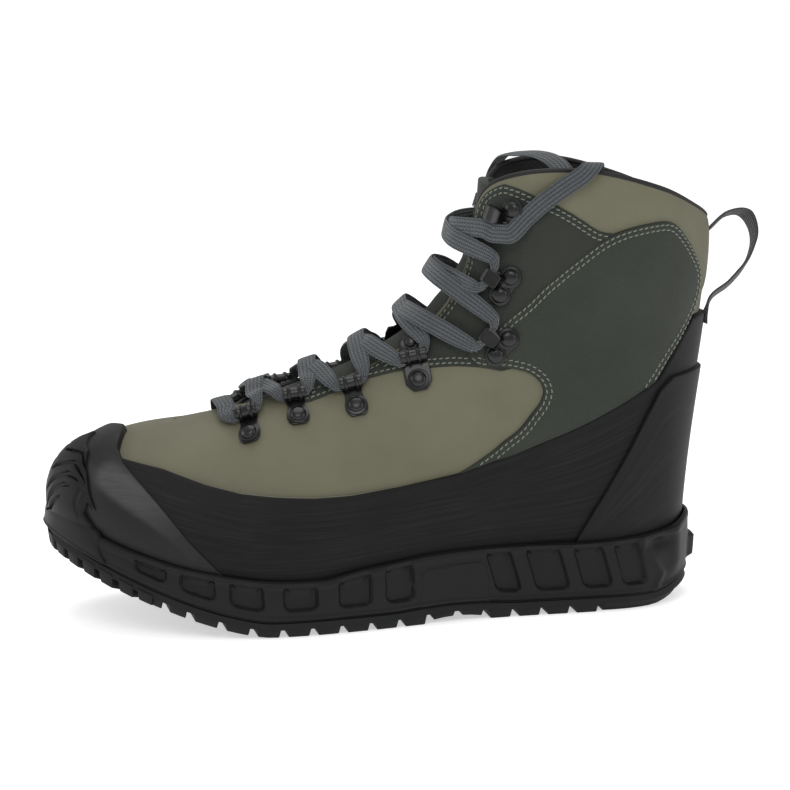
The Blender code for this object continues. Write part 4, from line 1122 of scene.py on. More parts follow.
def groundLine(along):    # height of the tread's face
    rise = 0.0
    if along > 0.7:
        rise = 1.29 * ((along - 0.7) / 0.32) ** 1.5
    elif along < 0.06:
        rise = 0.28 * ((0.06 - along) / 0.09) ** 1.4
    elif abs(along - 0.395) < 0.055:
        rise = 0.1 * math.cos((along - 0.395) / 0.055 * math.pi / 2) ** 0.5
    return rise * soleHeight


def treadTop(along):    # height of the tread plate's upper face
    rise = groundLine(along)
    if 0.3 < along < 0.5:
        rise = soleHeight * 0.05 * math.cos((along - 0.4) / 0.1 * math.pi / 2)
    return rise + soleMake["lugDepth"] + soleMake["plate"]


def cupSeat(v):    # the cup stands off the last by what lies under it
    cap = randMake["seat"] + randMake["capWall"] + 0.0006
    foxing = randMake["seat"] + randMake["wall"] + 0.0004 + randMake["foxingWall"] + 0.0006
    return cap + (foxing - cap) * clamped(v - 12.2)


def flared(v, side):
    return footPoint(v, side) + outlineNormal(v, side) * stationAt(v, side)["flare"] * lipRise


@lru_cache(maxsize=None)
def soleLow(v):    # outline of the midsole's lower edge
    point = flared(*foldPlace(v, lateral))
    point.z = treadTop(shareAlong(point)) + 0.0004
    return point


@lru_cache(maxsize=None)
def soleLip(v, wall):    # outline of the midsole's lip, a wall's width off what it holds
    realV, side = foldPlace(v, lateral)
    point = skin(realV, side, lipOnRib(realV, side), cupSeat(realV) + wall)
    rise = stationAt(realV, side)["lip"] * lipRise
    point.z = footPoint(realV, side).z + rise - tableUp(soleMake["dip"], point.x)
    return point


# 1 inside a rounded box, 0 outside.
def boxDepth(x, z, left, right, low, high, corner, soft, softHigh=None):
    middleX, middleZ = (left + right) / 2, (low + high) / 2
    dx = abs(x - middleX) - (right - left) / 2 + corner
    dz = abs(z - middleZ) - (high - low) / 2 + corner
    away = math.hypot(max(dx, 0.0), max(dz, 0.0)) + min(max(dx, dz), 0.0) - corner
    soft = softHigh if softHigh and z > middleZ and dz > dx else soft
    return 1 - softStep(away, -soft, soft * 0.4)


def sideDent(x, up, height):    # how far the windows go in, less the plate's rise
    dent = 0.0
    for left, right, lean in soleWindows:
        if left - 0.012 < x < right + 0.012:
            shifted = x + lean * (up - height * 0.45)
            box = boxDepth(shifted, up, left, right, 0.0054, height - 0.001, 0.0034, 0.0013, 0.005)
            dent = max(dent, box)
    left, right = soleMake["plateEdge"]
    plate = boxDepth(x, up, left, right + 0.1 * (0.02 - up), -0.01, 0.019 + 0.06 * (x - left), 0.0045, 0.0005)
    return dent * soleMake["windowDepth"] - 0.0007 * plate


def soleSide(v, t):    # t runs from the lower edge of the side to the top of the lip
    realV, side = foldPlace(v, lateral)
    low, high = soleLow(v), soleLip(v, soleMake["lipWall"] - 0.0012 * softStep(realV, 15.5, 17.0))
    point = low.lerp(high, t)
    height = (high - low).length
    up = t * height
    out = outlineNormal(realV, side)
    off = 0.0008 + 0.0006 * math.sin(math.pi * t)
    off -= sideDent(point.x, up, height)
    for away, depth, width in ((up - height + 0.0016, 0.0004, 0.001), (up - 0.0006, -0.001, 0.0007),
                               (up - 0.0021, 0.0006, 0.0008)):
        off += depth * bell(away, width)
    if realV > 14.5:    # the rib, hollow and swelling at the heel
        rib = soleMake["rib"]
        off += 0.0011 * bell(min(nearSegment(point, a, b)[1] for a, b in zip(rib, rib[1:])), 0.0019)
        off -= 0.0026 * bell(point.x - 0.029, 0.0048) * bell(point.z - 0.0325, 0.0028)
        off += 0.0012 * bell(point.x - 0.0385, 0.004) * softStep(t, 0.1, 0.4)
    nub = softStep(t, 0.12, 0.2) - softStep(t, 0.52, 0.62)
    off += soleMake["ledge"] * softStep(realV, 16.9, 17.5) * nub * softStep(realV, 17.15, 17.45)
    return point + out * off


def makeMidsole():
    steps, columns = 44, 1240
    verts, faces = [], []
    places = [2 * heelRow * index / columns for index in range(columns)]
    for step in range(steps + 1):
        verts += [soleSide(v, step / steps) for v in places]
    for rise, wall in lipRings:
        for v in places:
            thinner = wall * (1 - 0.45 * softStep(foldPlace(v, lateral)[0], 15.5, 17.0))
            verts.append(soleLip(v, thinner) + Vector((0, 0, rise)))
    for v in places:
        realV, side = foldPlace(v, lateral)
        point = footPoint(realV, side) + outlineNormal(realV, side) * cupSeat(realV)
        verts.append(Vector((point.x, point.y, footPoint(realV, side).z - 0.0004)))
    rings = len(verts) // columns
    for ring in range(rings - 1):
        low, high = ring * columns, (ring + 1) * columns
        for index in range(columns):
            after = (index + 1) % columns
            faces.append((low + index, low + after, high + after, high + index))
    half = columns // 2
    for ring in (0, rings - 1):
        start = ring * columns
        for index in range(half):
            a, b = start + index, start + index + 1
            c, d = start + (-index - 1) % columns, start + -index % columns
            corners = [a, b, c, d]
            if index == 0:
                corners = [a, b, c]
            elif index == half - 1:
                corners = [a, b, d]
            faces.append(tuple(corners) if ring == 0 else tuple(reversed(corners)))
    midsole = sealed(meshFrom("midsoleCup", verts, faces))
    settled(midsole, soleRubber, angle=35)
    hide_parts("midsole")


makeMidsole()
print("midsole made")

bumperMake = {"thick": 0.0046, "inside": 0.003, "ribDepth": 0.0019, "overlap": 0.0014, "wall": 0.002,
              "sideTop": 0.42,
              "reach": ((0.0, 2.48), (0.28, 2.26), (0.48, 1.96), (0.64, 1.74), (0.8, 1.76), (1.0, 2.02))}
# Slanting grooves on each side of the bumper: middle height, slope, half height, from, to.
bumperGrooves = ((0.44, 0.26, 0.034, 0.03, 0.56), (0.56, 0.32, 0.036, 0.03, 0.7),
                 (0.68, 0.34, 0.036, 0.03, 0.78), (0.8, 0.3, 0.032, 0.03, 0.8), (0.9, 0.2, 0.022, 0.04, 0.7))


def easedUp(table, place):    # as tableUp, but level at each entry
    for (start, startValue), (end, endValue) in zip(table, table[1:]):
        if place <= end:
            return startValue + (endValue - startValue) * softStep(place, start, end)
    return table[-1][1]


def bumperPoint(s, t):    # s runs from -1 on the medial side to 1 on the lateral side
    v = s * easedUp(bumperMake["reach"], t)
    width, sideTop = abs(s), bumperMake["sideTop"]
    thick = bumperMake["thick"] * (1 - 0.45 * width ** 4)
    lowH = lipOnRib(v, lateral, 0.003)
    highH = reachOnRib(v, lateral, lambda point: point.z < tableUp(bumperTop, abs(v)) * instepHeight)
    rim, edge = (1 - width) * 0.034, 1.0
    if t < sideTop:    # over the side of the sole
        out = outlineNormal(*foldPlace(v, lateral))
        base = soleSide(v, 0.04 + 0.96 * t / sideTop) + out * bumperMake["overlap"] * softStep(t, 0.0, 0.06)
        point = base.lerp(skin(v, lateral, lowH, bumperMake["inside"] + thick), softStep(t, 0.22, sideTop))
    else:    # over the cap
        share = (t - sideTop) / (1 - sideTop)
        h = lowH + (highH - lowH) * share
        out = outOfLast(v, lateral, h)
        point = onLast(v, lateral, h) + out * (bumperMake["inside"] + thick * (1 - 0.66 * share ** 2.2))
        edge = (1 - share) * 0.045
    groove = 0.0
    for middle, slope, half, start, end in bumperGrooves:
        along = (width - start) / (end - start)
        if 0 < along < 1:
            lens = half * math.sin(math.pi * along) ** 0.6
            across = abs(t - middle - slope * (along - 0.5)) / max(lens, 1e-4)
            groove = max(groove, 1 - softStep(across, 0.45, 1.0))
    rimLine = bell(rim - 0.0046, 0.0007) * softStep(t, 0.46, 0.6) * softStep(edge, 0.002, 0.004)
    rimDrop = 0.0026 * (1 - roundEdge(rim, 0.0014)) + 0.0022 * (1 - roundEdge(edge, 0.0014))
    return point - out * (bumperMake["ribDepth"] * groove + 0.0006 * rimLine + rimDrop)


def makeBumper():
    def place(s, t):
        return bumperPoint(-1 + 2 * tight(s, 0.7), t)
    bumper = bendSheet("toeBumper", 170, 170, place, (0.08, 0.07))
    thicken(bumper, bumperMake["wall"])
    settled(bumper, soleRubber, angle=35)
    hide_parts("toe_bumper")


makeBumper()
print("bumper made")


# The outsole: a plate and rows of lugs.
treadMake = {"pitch": 0.0145, "lug": 0.0118, "toePitch": 0.0108, "toeLug": 0.0084, "toeFrom": 0.8,
             "inset": 0.0012, "across": (0.0, 0.27, 0.33, 0.67, 0.73, 1.0), "bevel": 0.0006, "taper": 0.15,
             "roundFrom": 0.925, "roundRow": 3.2, "roundWidth": 0.0078, "roundDepth": 0.009,
             "roundOut": 0.001, "roundDrop": 0.0013, "heelStart": 0.148, "heelBevel": 0.0045}


def soleEdges():
    edges = {}
    for side in (lateral, medial):
        points = []
        for step in range(heelRow * 6, -1, -1):
            v = step / 6
            point = flared(v, side)
            points.append((shareAlong(point), point.y))
        edges[side] = points
    return edges


def edgeAt(points, along):
    for (start, startY), (end, endY) in zip(points, points[1:]):
        if start <= along <= end:
            return startY + (endY - startY) * (along - start) / max(end - start, 1e-9)
    return points[-1][1] if along > points[-1][0] else points[0][1]


def roundLugs():    # lugs that follow the outline round the toe
    lugs, travelled, goal = [], 0.0, 0.0
    count, last = 240, treadMake["roundRow"]
    spots = [-last + 2 * last * step / count for step in range(count + 1)]
    total = sum((soleLow(b) - soleLow(a)).length for a, b in zip(spots, spots[1:]))
    gap = total / round(total / treadMake["toePitch"])
    for before, v in zip(spots, spots[1:]):
        travelled += (soleLow(v) - soleLow(before)).length
        if travelled < goal:
            continue
        goal += gap
        out = outlineNormal(*foldPlace(v, lateral))
        side = Vector((-out.y, out.x, 0)) * treadMake["roundWidth"] / 2
        edge = soleLow(v) + out * treadMake["roundOut"]
        drop = treadMake["roundDrop"] * softStep(3.3 - abs(v), 0.0, 1.0)
        block = added(bpy.ops.mesh.primitive_cube_add, size=1)
        for vert in block.data.vertices:
            u = vert.co.z + 0.5
            inwards = treadMake["roundDepth"] * (vert.co.y + 0.5) + 0.001 * (1 - u)
            spot = edge + side * (2 * vert.co.x) * (0.84 + 0.16 * u) - out * inwards
            top = treadTop(shareAlong(spot)) - soleMake["plate"] + 0.0008
            vert.co = Vector((spot.x, spot.y, (groundLine(shareAlong(spot)) - drop) * (1 - u) + top * u))
        lugs.append(rounded(block, treadMake["bevel"], 2, 40))
    return lugs


def heelBlock(edges, start, end):    # one block with a bevelled rim
    heel = added(bpy.ops.mesh.primitive_cube_add, size=1)
    edited(heel, bpy.ops.mesh.subdivide, number_cuts=15)
    for vert in heel.data.vertices:
        s, t, u = vert.co.x + 0.5, vert.co.y + 0.5, vert.co.z + 0.5
        along = start + (end - start) * tight(s, 0.75)
        left, right = edgeAt(edges[lateral], along), edgeAt(edges[medial], along)
        sink = treadMake["heelBevel"] * (1 - u) ** 0.6
        half = max((right - left) / 2 - sink, 0.001)
        top = treadTop(along) - soleMake["plate"] + 0.0006
        vert.co = Vector((fromHeel(along) - sink * (1 - s) ** 6, (left + right) / 2 + (2 * t - 1) * half,
                          groundLine(along) * (1 - u) + top * u))
    return heel


def lugBlock(edges, start, end, shares):    # one lug of the straight rows, narrower at the ground
    corners = []
    for along in (start, end):
        left, right = edgeAt(edges[lateral], along), edgeAt(edges[medial], along)
        for share in shares:
            corners.append(Vector((fromHeel(along), left + (right - left) * share,
                                   treadTop(along) - soleMake["plate"])))
    centre = sum(corners, Vector()) / 4
    block = added(bpy.ops.mesh.primitive_cube_add, size=1)
    edited(block, bpy.ops.mesh.subdivide, number_cuts=1)
    for vert in block.data.vertices:
        s, t, u = vert.co.x + 0.5, vert.co.y + 0.5, vert.co.z + 0.5
        upper = corners[0].lerp(corners[1], t).lerp(corners[2].lerp(corners[3], t), s)
        down = upper + (centre - upper) * treadMake["taper"] * (1 - u)
        down.z = groundLine(shareAlong(down)) * (1 - u) + (upper.z + 0.0006) * u
        vert.co = down
    return rounded(block, treadMake["bevel"], 2, 50)


def makeOutsole():
    edges = soleEdges()
    heelEnd = edges[lateral][0][0] + treadMake["inset"] / lastLength
    toeEnd = edges[lateral][-1][0] - treadMake["inset"] / lastLength

    def place(s, t):
        along = heelEnd + (toeEnd - heelEnd) * tight(s, 0.9)
        left, right = edgeAt(edges[lateral], along), edgeAt(edges[medial], along)
        return Vector((fromHeel(along), left + (right - left) * t, treadTop(along)))
    plate = thicken(bendSheet("treadPlate", 160, 16, place), soleMake["plate"] + 0.0003, offset=1.0)
    pieces = [sealed(plate), heelBlock(edges, heelEnd, treadMake["heelStart"])] + roundLugs()
    across = treadMake["across"]
    along = treadMake["heelStart"] + 0.003 / lastLength
    while along < toeEnd - 0.016:
        lug, pitch = ("toeLug", "toePitch") if along > treadMake["toeFrom"] else ("lug", "pitch")
        end = min(along + treadMake[lug] / lastLength, toeEnd)
        for column in (0, 2, 4) if end < treadMake["roundFrom"] else (2,):
            pieces.append(lugBlock(edges, along, end, across[column:column + 2]))
        along += treadMake[pitch] / lastLength
    tread = turnedOut(united(pieces, "lugTread"))
    settled(tread, treadRubber, angle=35)
    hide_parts("outsole")
    print("tread made, lugs:", len(pieces) - 1)


makeOutsole()


# Metal lace loops and hooks: kind, row, distance from the middle of the throat.
fittings = (("loop", 5.35, 0.026), ("loop", 7.0, 0.0255), ("loop", 8.0, 0.0285), ("loop", 9.05, 0.032),
            ("hook", 10.5, 0.048), ("hook", 11.65, 0.036), ("hook", 12.75, 0.033))
metalMake = {"wall": 0.0011, "eye": 0.007, "eyeRadius": 0.0027, "rivet": 0.004, "bend": 0.005,
             "hookRadius": 0.0026, "hookRivet": 0.0042, "hookStep": 0.005, "seat": 0.0001, "strapZ": 0.0006}
loopTurns = {0: 0.42, 1: 0.17, 2: 0.21, 3: 0.42}    # the loops point a little towards the toe


def visibleUpper():
    verts, faces = [], []
    for piece in bpy.data.objects:
        if piece.type == "MESH" and piece.name.startswith(("upperShell", "quarterPanel", "eyestayPanel")):
            first = len(verts)
            verts += [vert.co.copy() for vert in piece.data.vertices]
            faces += [tuple(first + corner for corner in polygon.vertices) for polygon in piece.data.polygons]
    return BVHTree.FromPolygons(verts, faces)


outerSkin = visibleUpper()


def fittingFrame(v, reach, side):    # x away from the throat, z outwards, seated on what is seen there
    point, out = overThroat(v, reach * side, 0.0)
    away = overThroat(v, (reach + 0.001) * side)[0] - overThroat(v, (reach - 0.001) * side)[0]
    away = (away - out * away.dot(out)).normalized()
    along = out.cross(away)
    turned = Matrix((away, along, out)).transposed()
    heights = []
    for x, y in ((metalMake["rivet"], 0), (0, 0), (-0.004, 0), (metalMake["rivet"], 0.004),
                 (metalMake["rivet"], -0.004)):
        start = point + turned @ Vector((x, y, 0.008))
        hit = outerSkin.ray_cast(start, -out, 0.02)[0]
        if hit:
            heights.append((hit - point).dot(out))
    lift = sum(heights) / len(heights) if heights else 0.001
    return Matrix.Translation(point + out * (lift + metalMake["seat"])) @ turned.to_4x4()


def strapPiece(name, line, width):    # line: (x, z) of the strap's middle; width: by share along it
    count = len(line) - 1

    def place(s, t):
        step = s * count
        index = min(int(step), count - 1)
        share = step - index
        x = line[index][0] * (1 - share) + line[index + 1][0] * share
        z = line[index][1] * (1 - share) + line[index + 1][1] * share
        return Vector((x, (t - 0.5) * width(s), z))
    strap = bendSheet(name, count, 8, place)
    thicken(strap, metalMake["wall"], offset=0.0, even=True)
    return rounded(strap, 0.00028, 2, 35)


def rivetHead(x, y, size, lift=0.0):    # domed head on a flat flange
    base = metalMake["wall"] + lift
    flange = added(bpy.ops.mesh.primitive_cylinder_add, vertices=32, radius=size * 0.62, depth=0.0009,
                   location=(x, y, base + 0.0004))
    rounded(flange, 0.0003)
    dome = added(bpy.ops.mesh.primitive_uv_sphere_add, segments=28, ring_count=14, radius=size * 0.47,
                 location=(x, y, base + 0.0009))
    bpy.ops.transform.resize(value=(1, 1, 0.52))
    placed(flange)
    placed(dome)
    top = base + 0.0009 + size * 0.205
    for vert in dome.data.vertices:    # the crown is struck a little flat
        if vert.co.z > top:
            vert.co.z = top + (vert.co.z - top) * 0.55
    return [flange, dome]


def turnAbout(matrix, x, angle):    # turns a fitting round its eye
    move = Matrix.Translation((x, 0, 0))
    return matrix @ move @ Matrix.Rotation(angle, 4, "Z") @ move.inverted()


def curl(x, radius, turns, steps):    # the strap's way round, up from its flat part
    angles = [-math.pi / 2 - math.pi * turns * step / steps for step in range(1, steps + 1)]
    return [(x + radius * math.cos(angle),
             metalMake["strapZ"] + radius + radius * math.sin(angle)) for angle in angles]


def loopUnit(wide):    # wide: the fourth loop, with a second plate
    eye, radius, low = metalMake["eye"], metalMake["eyeRadius"], metalMake["strapZ"]
    line = [(x, low) for x in (0.0098, 0.008, 0.0055, 0.003, 0.0005, -0.002, -0.0045, -eye)]
    line += curl(-eye, radius, 1.66, 12)
    count = len(line) - 1

    def width(s):
        x = s * count
        if x < 2:
            return 0.0062 + 0.0048 * math.sin(x / 2 * math.pi / 2)
        if wide:
            return 0.013
        return 0.011 - 0.0026 * softStep(x, 2.6, 4.6) + 0.0024 * softStep(x, 5, 7.5)
    pieces = [strapPiece("laceLoop", line, width)] + rivetHead(metalMake["rivet"] + 0.0004, 0, 0.0086)
    for y in (-0.0026, 0.0026):    # the two beads pressed into the curl
        pieces.append(added(bpy.ops.mesh.primitive_torus_add, major_radius=radius + 0.0005,
                            minor_radius=0.0009, major_segments=28, minor_segments=8,
                            location=(-eye, y, low + radius), rotation=(math.pi / 2, 0, 0)))
    if wide:    # the plate on the throat's side has a small rivet of its own
        tail = [(-eye + x, z) for x, z in ((-0.0016, 0.003), (-0.003, 0.0016), (-0.005, 0.001),
                                           (-0.008, 0.0008), (-0.011, 0.0007))]
        pieces.append(strapPiece("laceLoopTail", tail, lambda s: 0.0125 - 0.0025 * softStep(s, 0.7, 1.0)))
        pieces += rivetHead(-eye - 0.0076, 0, 0.0056, -0.0002)
    return placed(united(pieces, "laceLoopUnit"))


def hookUnit():
    bend, radius, rivet = metalMake["bend"], metalMake["hookRadius"], metalMake["hookRivet"]
    line = [(0.0085, 0.0007), (0.006, 0.0007), (0.003, 0.0007), (0.0, 0.0007), (-0.0025, 0.0006),
            (-bend, 0.0006)]
    line += curl(-bend, radius, 1.0, 9)
    line += [(-bend + x, z + 2 * radius) for x, z in ((0.002, 0.001), (0.0042, 0.0015), (0.006, 0.0024))]
    count = len(line) - 1

    def width(s):
        x = s * count
        if x < 3:
            return 0.008
        waist = 0.0012 * math.sin((x - 3) / (count - 3) * math.pi)
        return 0.008 - waist - 0.0022 * softStep(x, count - 1.6, count)
    pieces = [strapPiece("laceHook", line, width)]
    for y in (-metalMake["hookStep"], metalMake["hookStep"]):    # a round plate under each of the two rivets
        plate = added(bpy.ops.mesh.primitive_cylinder_add, vertices=32, radius=0.0053, depth=0.0013,
                      location=(rivet, y, 0.00065))
        pieces += [rounded(plate, 0.0004, 3)] + rivetHead(rivet, y, 0.0084, 0.0001)
    return placed(united(pieces, "laceHookUnit"))


def makeFittings():    # gives each fitting's frame, turned and as it was before that
    units = {"loop": loopUnit(False), "wide": loopUnit(True), "hook": hookUnit()}
    frames, straight = {}, {}
    for side, word in ((lateral, "lateral"), (medial, "medial")):
        counts = {"loop": 0, "hook": 0}
        for number, (kind, v, reach) in enumerate(fittings):
            counts[kind] += 1
            plain = fittingFrame(v, reach, side)
            matrix = turnAbout(plain, -metalMake["eye"], side * loopTurns.get(number, 0.0))
            frames[(number, side)], straight[(number, side)] = matrix, plain
            unit = units["wide"] if kind == "loop" and counts[kind] == 4 else units[kind]
            piece = copied(unit, f"lace{kind.capitalize()}_{word}_{counts[kind]}")
            piece.matrix_world = matrix
            settled(piece, metal, angle=40)
            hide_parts(f"lace_{kind}_{word}_{counts[kind]}")
    for unit in units.values():
        bpy.data.objects.remove(unit)
    return frames, straight


fittingFrames, straightFrames = makeFittings()
print("loops and hooks made")

# The lace: two halves that cross between each pair of fittings, then the two loose ends.
laceMake = {"width": 0.009, "wall": 0.0015, "bunchWidth": 0.0048, "bunchWall": 0.0024, "seat": 0.0022,
            "lifts": (0.0038, 0.0046, 0.005, 0.006, 0.0085, 0.008), "barBack": 0.8, "clear": 0.008,
            "inwards": 0.011,
            "lastTurn": ((-0.0065, -0.0085, 0.0032), (-0.001, -0.0086, 0.0038), (0.0042, -0.007, 0.0052),
                         (0.009, -0.0048, 0.005))}
# The lace's way through a fitting: x and z from its eye, y along the throat, how wide it lies open, lean.
gateSpots = ((-0.005, -0.0085, 0.0012, 0.55, 0.1), (-0.0008, -0.0068, 0.0006, 0.15, 0.45),
             (0.0006, -0.003, 0.0, 0.0, 0.7), (0.0006, 0.003, 0.0, 0.0, 0.7),
             (-0.0008, 0.0068, 0.0006, 0.15, 0.45), (-0.005, 0.0085, 0.0012, 0.55, 0.1))
# The loose ends, from the last hook over the collar into the boot.
lateralEnd = ((-0.04, -0.0374, 0.1925), (-0.032, -0.0398, 0.2), (-0.022, -0.0418, 0.2075),
              (-0.014, -0.0434, 0.213), (-0.0095, -0.0426, 0.2168), (-0.0065, -0.0385, 0.2182),
              (-0.005, -0.0348, 0.214), (-0.0045, -0.0342, 0.205), (-0.004, -0.034, 0.196),
              (-0.0035, -0.0338, 0.186))
medialEnd = ((-0.0405, 0.033, 0.203), (-0.038, 0.0335, 0.209), (-0.034, 0.029, 0.2165),
             (-0.028, 0.019, 0.2185), (-0.022, 0.008, 0.219), (-0.0175, -0.004, 0.217),
             (-0.0145, -0.014, 0.212), (-0.013, -0.019, 0.204), (-0.012, -0.021, 0.1945),
             (-0.0115, -0.0215, 0.185))
endOuts = {lateral: (-0.2, -1, 0.1), medial: (-0.6, 0.7, 0.2)}


def ribbon(name, points, outs, widths, walls):    # a flat tape with rounded edges and its own UV
    sides = 16
    verts, uvs = [], []
    travelled = 0.0
    count = len(points)
    for index, point in enumerate(points):
        ahead, behind = points[min(index + 1, count - 1)], points[max(index - 1, 0)]
        run = (ahead - behind).normalized()
        across = run.cross(outs[index]).normalized()
        face = across.cross(run).normalized()
        if index:
            travelled += (point - points[index - 1]).length
        for step in range(sides):
            turn = 2 * math.pi * (step + 0.5) / sides
            c, s = math.cos(turn), math.sin(turn)
            wide, deep = math.copysign(abs(c) ** 0.55, c), math.copysign(abs(s) ** 0.8, s)
            verts.append(point + across * wide * widths[index] / 2 + face * deep * walls[index] / 2)
            uvs.append((wide * laceMake["width"] / 2, travelled))
    return sealed(meshFrom(name, verts, sideFaces(count, sides), uvs), 1e-7)


def laceSpeed(v):    # metres along the throat's edge for one row
    return (onLast(v + 0.2, lateral, 1) - onLast(v - 0.2, lateral, 1)).length / 0.4


def gatePoints(number, side):    # the lace's way through a loop or hook, from its toe side to its heel side
    matrix = fittingFrames[(number, side)]
    kind = fittings[number][0]
    offset, radius = ("eye", "eyeRadius") if kind == "loop" else ("bend", "hookRadius")
    eye = Vector((-metalMake[offset], 0, metalMake["strapZ"] + metalMake[radius]))
    out = matrix.to_3x3() @ Vector((0, 0, 1))
    away = matrix.to_3x3() @ Vector((1, 0, 0))
    plain = straightFrames[(number, side)]
    gates = []
    for x, y, z, spread, tip in gateSpots:
        frameHere = plain if abs(y) > 0.006 else matrix
        gates.append((frameHere @ (eye + Vector((x, -side * y, z))),
                      (out * (1 - tip) + away * tip).normalized(), spread))
    return gates


def laceHalf(name, side, first):
    controls = []
    _, v, reach = fittings[0]
    barV = v - laceMake["barBack"]
    stop = reach - metalMake["eye"] - 0.004
    for share in (0.0, 0.35, 0.7):
        point, out = overThroat(barV, side * stop * share, laceMake["seat"] + 0.0012 + 0.001 * (1 - share))
        controls.append((point, out, 1.0))
    here = side
    for number in range(len(fittings)):
        if number == len(fittings) - 1:    # out under the last hook to the loose end
            frameHere = fittingFrames[(number, here)]
            for x, y, z in laceMake["lastTurn"]:
                controls.append((frameHere @ Vector((x, -here * y, z)),
                                 frameHere.to_3x3() @ Vector((0, 0, 1)), 1.0))
            end = lateralEnd if here == lateral else medialEnd
            controls.append((Vector(end[0]), Vector(endOuts[here]).normalized(), 1.0))
            break
        controls += gatePoints(number, here)
        _, v, reach = fittings[number]
        _, nextV, nextReach = fittings[number + 1]
        lowV, highV = v + laceMake["clear"] / laceSpeed(v), nextV - laceMake["clear"] / laceSpeed(nextV)
        lowR, highR = reach - laceMake["inwards"], nextReach - laceMake["inwards"]
        over = 1 if (number % 2 == 0) == first else -1
        lift = laceMake["lifts"][number]
        for share in (0.2, 0.36, 0.5, 0.64, 0.8):
            r = here * (lowR * (1 - share) - highR * share)
            extra = lift * math.sin(math.pi * share) + over * 0.001 * bell(share - 0.5, 0.16)
            point, out = overThroat(lowV + (highV - lowV) * share, r, laceMake["seat"] + extra)
            lean = 0.25 * over * math.sin(2 * math.pi * share)
            run = (overThroat(lowV + (highV - lowV) * (share + 0.02), r, 0)[0] - point).normalized()
            out = (out + run.cross(out).normalized() * lean).normalized()
            controls.append((point, out, 1.0))
        here = -here
    points = curveThrough([point for point, _, _ in controls], 10)
    outs = curveThrough([out for _, out, _ in controls], 10)
    opens = curveThrough([Vector((open_, 0, 0)) for _, _, open_ in controls], 10)
    bunchWidth, bunchWall = laceMake["bunchWidth"], laceMake["bunchWall"]
    widths = [bunchWidth + (laceMake["width"] - bunchWidth) * softStep(o.x, 0, 1) for o in opens]
    walls = [bunchWall + (laceMake["wall"] - bunchWall) * softStep(o.x, 0, 1) for o in opens]
    piece = ribbon(name, points, [out.normalized() for out in outs], widths, walls)
    settled(piece, laceCloth, angle=60)
    return piece


halfOne = laceHalf("laceHalf_1", lateral, True)
halfTwo = laceHalf("laceHalf_2", medial, False)
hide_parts("lace_bar", "lace_crossing_1", "lace_crossing_3", "lace_crossing_5")
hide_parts("lace_crossing_2", "lace_crossing_4", "lace_crossing_6")
print("lace halves made")


def laceEnd(name, route, outs, node):
    points = curveThrough([Vector(point) for point in route], 8)
    faces = [out.normalized() for out in curveThrough([Vector(out) for out in outs], 8)]
    length = sum((b - a).length for a, b in zip(points, points[1:]))
    tips = [softStep(index / (len(points) - 1), 0.9, 0.97) for index in range(len(points))]
    widths = [laceMake["width"] * (1 - 0.5 * tip) for tip in tips]
    walls = [laceMake["wall"] * (1 + 0.9 * tip) for tip in tips]
    piece = ribbon(name, points, faces, widths, walls)
    settled(piece, laceCloth, angle=60)
    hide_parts(node)
    tuple(points[0])
    [tuple(point) for point in points]
    print(name, "length", round(length, 4))


laceEnd("laceEndOuter", lateralEnd,
        ((-0.2, -1, 0.1), (-0.15, -1, 0.15), (-0.1, -1, 0.2), (0, -1, 0.35), (0, -0.7, 0.7), (0, 0.1, 1),
         (0, 0.9, 0.5), (0, 1, 0.1), (0, 1, 0), (0, 1, 0)), "lace_end_lateral")
laceEnd("laceEndInner", medialEnd,
        ((-0.6, 0.7, 0.2), (-0.4, 0.6, 0.6), (-0.2, 0.2, 1), (-0.2, 0, 1), (-0.2, -0.1, 1), (-0.3, -0.4, 1),
         (-0.3, -0.8, 0.6), (-0.3, -1, 0.2), (-0.3, -1, 0), (-0.3, -1, 0)), "lace_end_medial")


# Tongue, collar binding, pull loop and insole.
tongueMake = {"start": 4.2, "end": 12.9, "low": 0.17, "widen": 0.12, "drop": 0.0035, "wall": 0.005,
              "tip": 0.0075, "tipFrom": 0.94, "swell": 0.0012, "channels": 9, "channelDepth": 0.0006,
              "edge": 0.0014}


def makeTongue():
    start, end, tipFrom = tongueMake["start"], tongueMake["end"], tongueMake["tipFrom"]

    def place(s, t):
        aside = 2 * s - 1
        up = min(t / tipFrom, 1.0)
        v = start + (end - start) * up
        width = ballWidth * (tongueMake["low"] + tongueMake["widen"] * up)
        reach = aside * width * (1 - 0.1 * softStep(t, tipFrom, 1.0) * aside ** 2)
        point, out = overThroat(v, reach)
        point = point - out * (tongueMake["drop"] - tongueMake["swell"] * (1 - aside ** 2))
        if t > tipFrom:
            along = (overThroat(end, reach)[0] - overThroat(end - 0.3, reach)[0]).normalized()
            point += along * tongueMake["tip"] * (t - tipFrom) / (1 - tipFrom) * (1 - 0.25 * aside ** 2)
        channel = 1 - math.sin(math.pi * up * tongueMake["channels"]) ** 2
        point -= out * tongueMake["channelDepth"] * channel * (1 - aside ** 4) * softStep(up, 0.5, 0.6)
        return point
    tongue = bendSheet("paddedTongue", 44, 130, place, (0.06, 0.17))
    normal = tongue.data.polygons[len(tongue.data.polygons) // 2].normal
    middle = overThroat((start + end) / 2, 0.0)[1]
    if normal.dot(middle) < 0:
        tongue.data.flip_normals()
    thicken(tongue, tongueMake["wall"])
    rounded(tongue, tongueMake["edge"], 3, 50)
    settled(tongue, tongueCloth)
    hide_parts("tongue")


makeTongue()
print("tongue made")


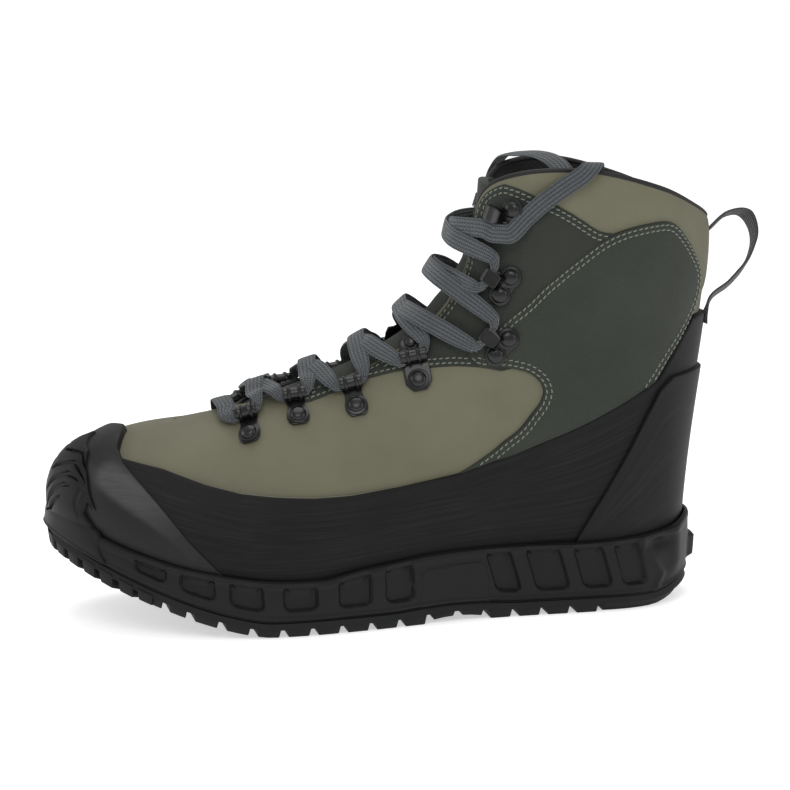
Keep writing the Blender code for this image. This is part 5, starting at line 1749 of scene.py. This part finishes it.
def makeBinding():
    points, outs, sizes = [], [], []
    rows = [throatRow + (heelRow - throatRow) * step / 150 for step in range(151)]
    path = [(v, lateral) for v in rows] + [(v, medial) for v in reversed(rows[:-1])]
    for v, side in path[:-1]:
        out = outOfLast(v, side, 1)
        up = slopesAt(v, side, 1)[1].normalized()
        points.append(onLast(v, side, 1) - out * 0.0016 + up * 0.0002)
        outs.append(out)
        sizes.append(0.0008 + 0.0006 * softStep(v, 12.4, 13.2))
    binding = tubeAlong("collarBinding", points, outs, sizes, 10, loop=True)
    settled(binding, piping, angle=60)


makeBinding()

# The pull loop: its turn by share along it, and its route as shares of length and height.
pullLoop = {"width": 0.015, "wall": 0.0017, "twist": (
    (0.0, -0.1), (0.12, -0.34), (0.34, -0.3), (0.5, 0.22), (0.62, 0.42), (0.8, 0.4), (1.0, 0.0)), "route": (
    (-0.052, 0.838), (-0.064, 0.85), (-0.09, 0.88), (-0.122, 0.882), (-0.139, 0.835), (-0.13, 0.775),
    (-0.1, 0.722), (-0.069, 0.69), (-0.059, 0.655), (-0.0535, 0.63))}


def makePullLoop():
    corners = [Vector((fromHeel(along), 0.0, height * bootHeight)) for along, height in pullLoop["route"]]
    points = curveThrough(corners, 9)
    count, outs = len(points), []
    for index in range(count):
        run = (points[min(index + 1, count - 1)] - points[max(index - 1, 0)]).normalized()
        out = Vector((run.z, 0, -run.x)).normalized()
        lean = tableUp(pullLoop["twist"], index / (count - 1))
        outs.append((out * math.cos(lean) + Vector((0, 1, 0)) * math.sin(lean)).normalized())
    piece = ribbon("pullTape", points, outs, [pullLoop["width"]] * count, [pullLoop["wall"]] * count)
    settled(piece, webbing, angle=60)
    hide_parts("pull_loop")


makePullLoop()
dressed(frame["nodes"]["insole"], lining)
print("binding, pull loop and insole done")


def makeRandHighlightLine():    # a thin pale cord over the rand's top edge: a painted highlight along that edge
    lines = []
    for side, start, end in ((lateral, 4.0, 8.6), (lateral, 11.3, 12.6), (medial, 4.2, 8.2)):
        points, outs, sizes = [], [], []
        for step in range(61):
            v = start + (end - start) * step / 60
            h = lineOnRib(v, side, "rand")
            up = slopesAt(v, side, h)[1].normalized()
            outs.append(outOfLast(v, side, h))
            points.append(onLast(v, side, h) + outs[-1] * 0.0009 + up * 0.0001)
            sizes.append(0.00022 * math.sin(math.pi * min(max(step / 60, 0.02), 0.98)) ** 0.5)
        lines.append(tubeAlong("glueLine", points, outs, sizes, 6))
    glue = united(lines, "glueLine")
    settled(glue, paleEdgeHighlight, angle=60)


makeRandHighlightLine()


# Floor.
floor = added(bpy.ops.mesh.primitive_plane_add, size=60, location=(0, 0, 0))
floor.name = "floor"
floorFinish = newFinish("paleFloor", (0.9, 0.9, 0.9), 0.8,
                        **{"Emission Color": (1, 1, 1, 1), "Emission Strength": 0.52})
floor.data.materials.append(floorFinish)

print("all made")
